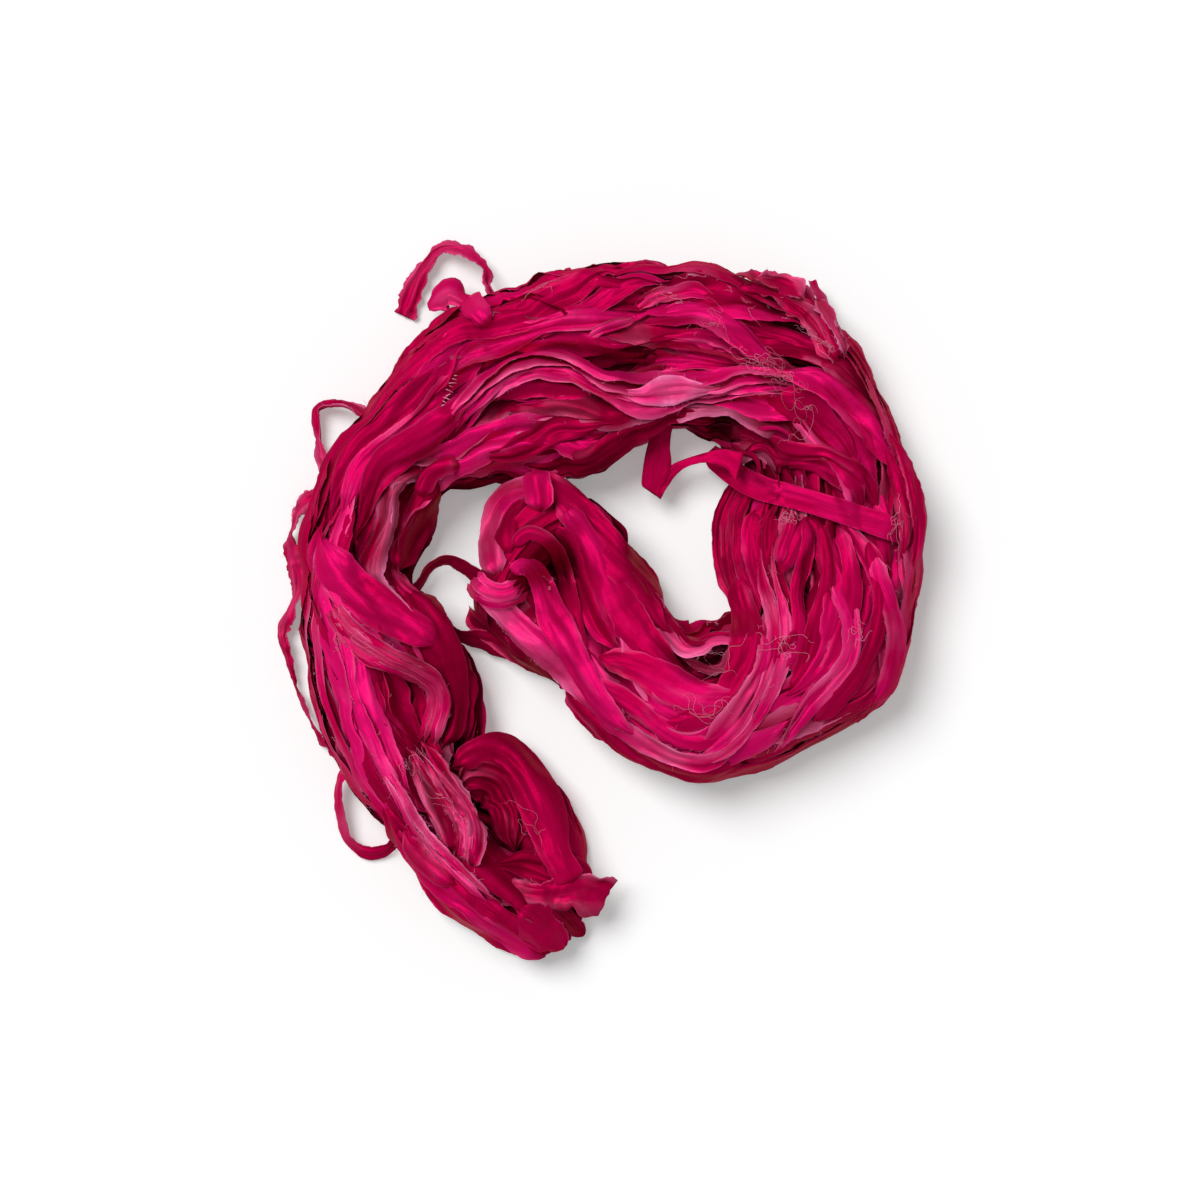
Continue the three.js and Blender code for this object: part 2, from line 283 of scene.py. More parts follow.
def hankSlopes(along, turn):
    # The two directions of the surface, by small steps, and its outward normal, their cross product.
    small, smallTurn = 1.5, 0.02
    ahead, back = np.minimum(along + small, hankLength), np.maximum(along - small, 0)
    alongStep = (hankPoint(ahead, turn) - hankPoint(back, turn)) / (2 * small)
    high, low = np.minimum(turn + smallTurn, 1), np.maximum(turn - smallTurn, -1)
    turnStep = (hankPoint(along, high) - hankPoint(along, low)) / (2 * smallTurn)
    return alongStep, turnStep, unit(np.cross(alongStep, turnStep))


def runningSum(values):
    middle = (values[:, 1:] + values[:, :-1]) / 2
    return np.concatenate([np.zeros((len(values), 1)), np.cumsum(middle, axis=1)], axis=1)


# folds: waves across the strip, strength, how far along they change
foldWaves = ((1.0, 0.6, 150), (2.1, 0.8, 95), (3.9, 0.65, 60), (5.6, 0.35, 40))
# creases: wavelength and depth
creaseWaves = ((41, 1.0), (29, 0.9), (19, 0.7), (13, 0.5), (9, 0.35))


def foldSection(distance, look):
    # The slope across the strip is a sum of sine waves whose strength and phase drift along it.
    # Running sums of its cosine and sine give place and lift, so the strip keeps its flat width.
    across = np.linspace(-1, 1, look["columns"])[None, :]
    v = distance[:, None]
    slope = 0
    for waves, weight, reach in foldWaves:
        strength = weight * (0.7 + 0.7 * wander(v, 1.3 * reach))
        phase = waves * across + 0.55 * wander(v, 1.6 * reach) + rng.uniform(0, 2)
        slope = slope + strength * np.sin(math.pi * phase)
    pleats, depth = look["pleats"]
    pleated = depth * np.sin(math.pi * pleats * (across + look["drift"] * wander(v, 40)))
    slope = slope * look["fold"] + look["cup"] * across + pleated
    share = distance / distance[-1]
    leaf = 1 - look["leaf"] * (1 - np.sin(math.pi * share) ** 0.7)
    widths = look["flat"] * (1 + look["flare"] * share**2) * leaf * (1 + look["vary"] * wander(distance, 130))
    step = widths[:, None] / (look["columns"] - 1)
    place = runningSum(np.cos(slope)) * step
    lift = runningSum(np.sin(slope)) * step
    place -= place.mean(axis=1, keepdims=True)
    lift -= lift.mean(axis=1, keepdims=True)
    lean = (place * lift).sum(axis=1, keepdims=True) / (place**2).sum(axis=1, keepdims=True)
    return place, lift - lean * place, widths[:, None]


def edgeWaves(distance, columns):
    # Each edge strays by two short drifting waves, felt by the outer part of the strip only.
    across = np.linspace(-1, 1, columns)[None, :]
    near = np.clip((np.abs(across) - 0.35) / 0.65, 0, 1) ** 1.5
    left, right = (0.7 * wander(distance, 31) + 0.35 * wander(distance, 11) for _ in range(2))
    return np.where(across < 0, left[:, None], right[:, None]) * near


def crumple(distance, look):
    # Creases: folded sine waves that run every way over the strip, in patches that come and go.
    across = np.linspace(-0.5, 0.5, look["columns"])[None, :] * look["flat"]
    v = distance[:, None]
    total = 0
    for wavelength, weight in creaseWaves:
        slant = rng.uniform(-1.4, 1.4)
        wave = v / wavelength + slant * across / 16 + 0.45 * wander(v, 2.7 * wavelength)
        patch = np.clip(0.5 + 0.9 * wander(v, 4.5 * wavelength), 0, 1.3)
        total = total + weight * patch * (0.6 - np.abs(np.sin(math.pi * (wave + rng.uniform(0, 1)))))
    return look["crumple"] * total


def smoothRows(values, reach):
    # Each row becomes the mean of those within reach rows of it, twice over.
    reach = max(1, int(reach))
    for _ in range(2):
        padded = np.concatenate([np.repeat(values[:1], reach, 0), values, np.repeat(values[-1:], reach, 0)])
        sums = np.cumsum(np.concatenate([np.zeros_like(padded[:1]), padded]), axis=0)
        values = (sums[2 * reach + 1 :] - sums[: -2 * reach - 1]) / (2 * reach + 1)
    return values


# The top of the pile of turns, as a height over the hank's surface, on a grid of along by turn.
# It starts below that surface by a share of the crown's height.
pile = {
    "alongStep": 1.6,
    "turnCells": 150,
    "depthShare": 0.4,
    "fullHigh": 46,  # lower parts of the hank may be heaped half way up to this height
}
pileAlong = np.arange(0, hankLength + pile["alongStep"], pile["alongStep"])
pileTurn = np.linspace(-1, 1, pile["turnCells"])
pilePlace = np.meshgrid(np.minimum(pileAlong, hankLength), pileTurn, indexing="ij")
surfaceHigh = hankPoint(*pilePlace)[..., 2]
pressedAway = hankPoint(*pilePlace, pressed=True)[..., 2] - surfaceHigh
pileTop = pressedAway - pile["depthShare"] * surfaceHigh.max(axis=1, keepdims=True)


def pileCells(along, turn):
    i = np.clip((along / pile["alongStep"]).astype(int), 0, pileTop.shape[0] - 2)
    j = np.clip(((turn + 1) / 2 * (pile["turnCells"] - 1)).astype(int), 0, pile["turnCells"] - 2)
    return i, j


# Height of whatever lies highest, on a grid of x by y, for what is laid over everything else.
topMap = {"cell": 2.0, "reach": 232}
topHigh = np.zeros((int(2 * topMap["reach"] / topMap["cell"]),) * 2)


def topCells(x, y):
    cells = ((v + topMap["reach"]) / topMap["cell"] for v in (x, y))
    return tuple(np.clip(cell, 1, len(topHigh) - 2).astype(int) for cell in cells)


def topAt(x, y):
    # Highest of the cell at each place and its four neighbours.
    i, j = topCells(x, y)
    steps = ((0, 0), (-1, 0), (1, 0), (0, -1), (0, 1))
    return np.max([topHigh[i + di, j + dj] for di, dj in steps], axis=0)


grids = {}  # piece name to its list of finished strips


def keepGrid(pieceName, points, distance, look, lift, area):
    # Crests of the folds are paler, a painted highlight carried in the wear value, and the tone drifts along
    # the strip.
    rows, columns = points.shape[:2]
    np.maximum.at(topHigh, topCells(points[..., 0], points[..., 1]), points[..., 2])
    across = np.broadcast_to(np.linspace(-0.5, 0.5, columns) * look["flat"], (rows, columns))
    lengthwise = np.broadcast_to(distance[:, None] + rng.uniform(0, 4000), (rows, columns))
    tone = look["tone"] + 0.1 * wander(distance, 260)[:, None]
    # Painted highlight: the higher a fold's crest, the more of the pale dye it gets, on top of the row's real
    # wear.
    crestHighlight = np.clip((lift - lift.mean(axis=1, keepdims=True)) / 2, -0.5, 1)
    wearAndCrestHighlight = look["wearAndCrestHighlight"] * (0.8 + 0.4 * wander(distance, 60)[:, None] + 0.5 * crestHighlight)
    grids.setdefault(pieceName, []).append(
        {
            "points": points * mm,
            "uv": np.stack([lengthwise, across], -1) * mm,
            "tone": np.broadcast_to(tone, (rows, columns)),
            "wearAndCrestHighlight": np.broadcast_to(wearAndCrestHighlight, (rows, columns)),
            "edge": np.broadcast_to(np.abs(np.linspace(-1, 1, columns)), (rows, columns)),
            "area": area * mm**2,
            "length": distance[-1] * mm,
        }
    )


def riseAt(distance, look):
    # 0 at an end that dives under its neighbours, 1 away from it, and 1 all along at a free end.
    startDive, endDive = look["dives"]
    start = np.clip(distance / startDive, 0, 1) if startDive else np.ones(len(distance))
    end = np.clip((distance[-1] - distance) / endDive, 0, 1) if endDive else np.ones(len(distance))
    rise = np.minimum(start, end)
    return (rise * rise * (3 - 2 * rise))[:, None]


def roundedEnd(distance, look):
    # A free far end narrows as a quarter ellipse over its last stretch.
    reach = look["round"] * look["flat"] * (1 + look["flare"])
    if look["dives"][1] or not reach:
        return 1
    inside = np.clip((distance - distance[-1] + reach) / reach, 0, 1)
    return np.sqrt(1 - 0.97 * inside**2)[:, None]


def shapeStrip(distance, look):
    # The folded section all along a strip, narrowed at its ends, leaned, creased and with frayed edges.
    place, lift, widths = foldSection(distance, look)
    rise = riseAt(distance, look)
    narrowing = (1 - look["taper"] * (1 - rise) ** 0.8) * roundedEnd(distance, look)
    place = place * narrowing
    lean = np.radians(look["lean"] + look["tilt"] * wander(distance, 230))[:, None]
    place, lift = place * np.cos(lean) - lift * np.sin(lean), place * np.sin(lean) + lift * np.cos(lean)
    lift = lift + crumple(distance, look) * rise
    place = place + look["ragged"] * np.sign(place) * edgeWaves(distance, look["columns"]) * narrowing
    lift = lift + look["flutter"] * edgeWaves(distance, look["columns"]) * narrowing
    place[:, [0, -1]] += 0.2 * look["ragged"] * rng.uniform(-1, 1, (len(place), 2))
    return place, lift, rise, (widths * narrowing).sum() * look["step"]


def yieldAt(height, limit, kept):
    # What would stand past the limit keeps only a share of its excess.
    return np.minimum(height, kept * height + (1 - kept) * limit)


def restOn(under, lift, rise, look):
    # Height of a strip: the smoothed height of what is under it, and its own folds on top.
    reach = look["bridge"] / look["step"]
    soft = smoothRows(under, reach)
    soft = soft + 0.7 * smoothRows(np.maximum(under - soft, 0), reach / 2)
    base = (1 - look["level"]) * soft + look["level"] * soft.mean(axis=1, keepdims=True)
    folds = look["press"] * (lift - 0.7 * lift.min(axis=1, keepdims=True))
    height = base + look["clear"] + look["over"] * rise + folds
    return height - (1 - rise) ** 2 * look["dip"]


def layStrip(pieceName, along, turn, look):
    # Lays a strip on the pile along a path over the hank's surface, which its middle follows.
    measured = runningLength(hankPoint(along, turn))
    distance = np.arange(0, measured[-1], look["step"])
    along, turn = np.interp(distance, measured, along), np.interp(distance, measured, turn)
    middle = hankPoint(along, turn)
    alongStep, turnStep, normal = hankSlopes(along, turn)
    side = unit(np.cross(normal, unit(np.gradient(middle, axis=0))))
    place, lift, rise, area = shapeStrip(distance, look)
    cellAlong = along[:, None] + place * ((side * alongStep).sum(-1) / (alongStep**2).sum(-1))[:, None]
    cellTurn = turn[:, None] + place * ((side * turnStep).sum(-1) / (turnStep**2).sum(-1))[:, None]
    i, j = pileCells(cellAlong, cellTurn)
    height = restOn(pileTop[i, j], lift, rise, look)
    room = np.maximum(pile["fullHigh"] - middle[:, 2], 0) * np.maximum(normal[:, 2], 0) ** 2
    height = yieldAt(height, look["cap"] + 0.5 * room[:, None], 0.35)
    points = middle[:, None, :] + side[:, None, :] * place[..., None] + normal[:, None, :] * height[..., None]
    points[..., 2] = yieldAt(points[..., 2], look["ceiling"], 0.3)
    points[..., 2] = np.maximum(points[..., 2], look["lowest"] + 0.2 * np.abs(lift))
    top = np.where(rise > 0.2, height + 0.2, -99)  # a diving end adds nothing to the pile
    for di, dj in ((0, 0), (0, 1), (1, 0), (1, 1)):
        np.maximum.at(pileTop, (i + di, j + dj), top)
    keepGrid(pieceName, points, distance, look, lift, area)


def layOnTop(pieceName, path, look):
    # Lays a strip over everything so far, along a path of x and y.
    measured = runningLength(path)
    distance = np.arange(0, measured[-1], look["step"])
    middle = np.stack([np.interp(distance, measured, path[:, k]) for k in (0, 1)], -1)
    ahead = unit(np.gradient(middle, axis=0))
    side = np.stack([-ahead[:, 1], ahead[:, 0]], -1)
    place, lift, rise, area = shapeStrip(distance, look)
    spots = middle[:, None, :] + side[:, None, :] * place[..., None]
    under = topAt(spots[..., 0], spots[..., 1])
    height = restOn(under, lift, rise, look)
    height = yieldAt(height, look["highest"], 0.4)
    clearOfAll = smoothRows(under, 1.5) + 0.6 - (1 - rise) ** 2 * look["dip"]
    height = np.maximum(height, look["stiff"] * clearOfAll)
    height = np.maximum(height, look["lowest"] + 0.2 * np.abs(lift))
    keepGrid(pieceName, np.concatenate([spots, height[..., None]], -1), distance, look, lift, area)


# How turns leave their line: sway of all of them by the row, gathers and partings.
flow = {
    "sway": [
        (0, 0), (60, -0.1), (110, 0.0), (160, -0.05), (200, -0.18), (235, 0.05), (270, 0.25), (310, 0.26),
        (350, 0.15), (390, 0.1), (425, 0.14), (450, 0.04), (475, -0.14), (500, -0.26), (540, -0.26),
        (570, -0.12), (600, 0.02), (650, 0.25), (690, 0.28), (740, 0.15), (790, 0.05), (830, 0.12),
        (870, 0.05), (920, 0), (1010, 0),
    ],
    "bunches": 5.3,
    "pull": 0.42,
    # partings: along, across, reach along, push
    "partings": [
        (954, -0.03, 30, 0.36), (95, -0.3, 40, 0.16), (228, -0.3, 32, 0.1), (332, -0.35, 22, 0.12),
        (380, 0.28, 24, 0.06), (436, -0.26, 28, 0.12), (552, 0.52, 32, 0.07), (646, 0.25, 30, 0.06),
        (660, -0.1, 24, 0.08), (712, -0.22, 30, 0.07), (740, 0.42, 26, 0.07), (815, -0.5, 28, 0.09),
        (890, 0.15, 28, 0.06),
    ],
    "loopMiddle": (955, -0.04),  # where the turns go round at the looped end: along, across
    "loopReach": (12, 33),  # how far past it the innermost and the outermost turns go
}
swayAlong = np.arange(0, hankLength, 2.0)
swayRows = np.array(flow["sway"])
swayLine = smoothRows(np.interp(swayAlong, swayRows[:, 0], swayRows[:, 1])[:, None], 7)[:, 0]


def sharedSway(along, turn):
    return np.interp(along, swayAlong, swayLine) * (1 - turn**4)


def gather(along, turn):
    # Turns draw together into bunches: a sine of their place, which drifts along the hank.
    drift = 0.2 * np.sin(along / 95 + 1) + 0.08 * np.sin(along / 47 + 2)
    phase = math.pi * flow["bunches"] * (turn - drift)
    return turn - flow["pull"] * np.sin(phase) / (math.pi * flow["bunches"])


def partAround(along, turn):
    # Turns swerve round each parting: the sideways push fades along the hank and across it.
    for at, across, reach, push in flow["partings"]:
        off = turn - turnAt(across)
        near = np.exp(-(((along - at) / reach) ** 2))
        turn = turn + push * near * np.tanh(off / 0.08) * np.exp(-np.abs(off) / (2.5 * push))
    return turn


def straightWay(start, stop, turn0, wandering):
    # A turn's path from one place along the hank to another, at about turn0 round it.
    along = np.arange(start, stop, 2.0)
    own = wandering * (wander(along, 330) + 0.25 * wander(along, 120)) * (1 - 0.6 * turn0**2)
    turn = turn0 + sharedSway(along, turn0) + own
    turn = partAround(along, gather(along, turn))
    return along, turn


def roundWay(start, turn0, wandering, back):
    # A path that runs to the looped end, round it on half an ellipse and back on the other side.
    at, across = flow["loopMiddle"]
    middle = turnAt(across)
    near, far = flow["loopReach"]
    reach = near + (far - near) * abs(turn0 - middle)
    halfTurn = np.linspace(0, math.pi, 40)[1:-1]
    outAlong, outTurn = straightWay(start, at, turn0, wandering)
    backAlong, backTurn = straightWay(at - back, at, 2 * middle - turn0, wandering)
    first, last = outTurn[-1], backTurn[-1]
    roundAlong = at + reach * np.sin(halfTurn)
    roundTurn = (first + last) / 2 + (first - last) / 2 * np.cos(halfTurn)
    along = np.concatenate([outAlong, roundAlong, backAlong[::-1]])
    turn = np.concatenate([outTurn, roundTurn, backTurn[::-1]])
    return along, turn


# The look that every strip starts from.
plain = {
    "fold": 0.35,  # steepness of the folds across it
    "cup": 0,  # curl of both edges: up, or down if negative
    "pleats": (0, 0),  # even pleats: how many, how deep
    "drift": 0.05,  # how far the pleats stray
    "flare": 0,  # how much wider the far end is
    "leaf": 0,  # how much narrower both ends are
    "vary": 0.2,  # how much the width comes and goes
    "round": 0.45,  # how long a free end's rounding is, as a share of the width
    "taper": 0.94,  # how much a diving end narrows
    "ragged": 0.75,  # how far the edges stray sideways
    "flutter": 0.6,  # and up and down
    "lean": 0,  # degrees by which it is rolled
    "tilt": 24,  # and how far that wanders
    "wearAndCrestHighlight": 0,
    "clear": 0.3,  # gap to what it lies on
    "over": 0,  # further lift, away from its ends
    "press": 1,  # share of its folds' height that it keeps
    "bridge": 12,  # length of a hollow that it spans
    "level": 0.45,  # how flat it lies from edge to edge
    "dip": 9,  # depth to which an end dives
    "cap": 6,  # height over the hank's surface at which it gives way
    "ceiling": 49.5,  # the same above the table, for strips on the pile
    "highest": 52,  # and for ribbons laid over everything
    "lowest": 0.25,  # above the table
    "stiff": 0,  # 1 if nothing may poke through
}
# Inner and middle turns take lower tones than the top ones. This is painted shade for lying deeper in the
# pile, over the tone's own random spread.
turns = {
    "inner": dict(
        plain, count=11, columns=8, step=4.0, flat=23, fold=0.8, crumple=0.5, tilt=30, dives=(16, 16), dip=4,
        reach=(0.2, 0.97), depthShadedTones=(0.05, 0.35), widths=(0.8, 1.2), leans=(-30, 30), tails=(2, 18), strays=0.05,
    ),
    "middle": dict(
        plain, count=28, columns=11, step=2.1, flat=23, fold=0.75, crumple=0.45, tilt=28, dives=(42, 42),
        lengths=(240, 620), depthShadedTones=(0.0, 0.45), narrowShare=0.1, loopless=False,
    ),
    "top": dict(
        plain, count=54, columns=14, step=1.8, flat=23, fold=0.7, crumple=0.35, tilt=24, dives=(46, 46),
        lengths=(180, 480), depthShadedTones=(0.15, 0.85), narrowShare=0.35, loopless=True,
    ),
}
# How the middle and top turns differ from one to the next, at random within these ranges.
uneven = {
    "evenSteps": (0.618034, 0.7548777),  # steps that spread them evenly along and round the hank
    "wearAndCrestHighlight": (-0.5, 0.4),
    "narrow": (0.45, 0.65),
    "wide": (0.8, 1.25),
    "folds": (0.35, 1.3),
    "creases": (0.3, 1.6),
    "leans": (-45, 45),
    "strays": 0.09,
    "shortestReturn": 60,  # for a turn that goes round the looped end
}


def pieceAt(along, prefix):
    stretches = ("tail", "left", "top", "right", "end")
    limits = (130, 340, 570, 790)
    return prefix + "_" + stretches[int(np.searchsorted(limits, along))]


def layInnerTurns(values):
    for turn0 in np.linspace(*values["reach"], values["count"]):
        tone = rng.uniform(*values["depthShadedTones"])
        look = dict(values, tone=tone, flat=values["flat"] * rng.uniform(*values["widths"]))
        look["lean"] = rng.uniform(*values["leans"])
        tail = rng.uniform(*values["tails"], 2)
        along, turn = roundWay(tail[0], turn0, values["strays"], flow["loopMiddle"][0] - tail[1])
        layStrip("inner_turns", along, np.clip(turn, -0.995, 0.995), look)


def layStretches(values, prefix):
    loopAlong = flow["loopMiddle"][0]
    for k in range(values["count"]):
        length = rng.uniform(*values["lengths"])
        alongStep, roundStep = uneven["evenSteps"]
        middle = hankLength * ((k * alongStep + rng.uniform(-0.04, 0.04)) % 1)
        turn0 = -0.95 + 1.9 * ((k * roundStep + 0.31) % 1)
        start, stop = max(rng.uniform(2, 14), middle - length / 2), middle + length / 2
        narrow = rng.uniform() < values["narrowShare"]
        look = dict(
            values,
            tone=rng.uniform(*values["depthShadedTones"]),
            wearAndCrestHighlight=max(rng.uniform(*uneven["wearAndCrestHighlight"]), 0),
            flat=values["flat"] * rng.uniform(*uneven["narrow" if narrow else "wide"]),
            fold=values["fold"] * rng.uniform(*uneven["folds"]),
            crumple=values["crumple"] * rng.uniform(*uneven["creases"]),
            lean=rng.uniform(*uneven["leans"]),
        )
        beyond = stop - loopAlong
        if beyond > 0 and values["loopless"]:
            along, turn = straightWay(start, loopAlong - rng.uniform(0, 30), turn0, uneven["strays"])
        elif beyond > 0:
            along, turn = roundWay(start, turn0, uneven["strays"], max(beyond, uneven["shortestReturn"]))
        else:
            along, turn = straightWay(start, stop, turn0, uneven["strays"])
        layStrip(pieceAt(middle, prefix), along, np.clip(turn, -0.995, 0.995), look)


def reportPile(stage):
    count = sum(len(strips) for strips in grids.values())
    print(stage, count, "strips, pile", np.percentile(pileTop[20:-20], (95, 50, 5)).round(1))


layInnerTurns(turns["inner"])
reportPile("inner turns laid:")
layStretches(turns["middle"], "middle_turns")
reportPile("middle turns laid:")
layStretches(turns["top"], "top_turns")
reportPile("top turns laid:")


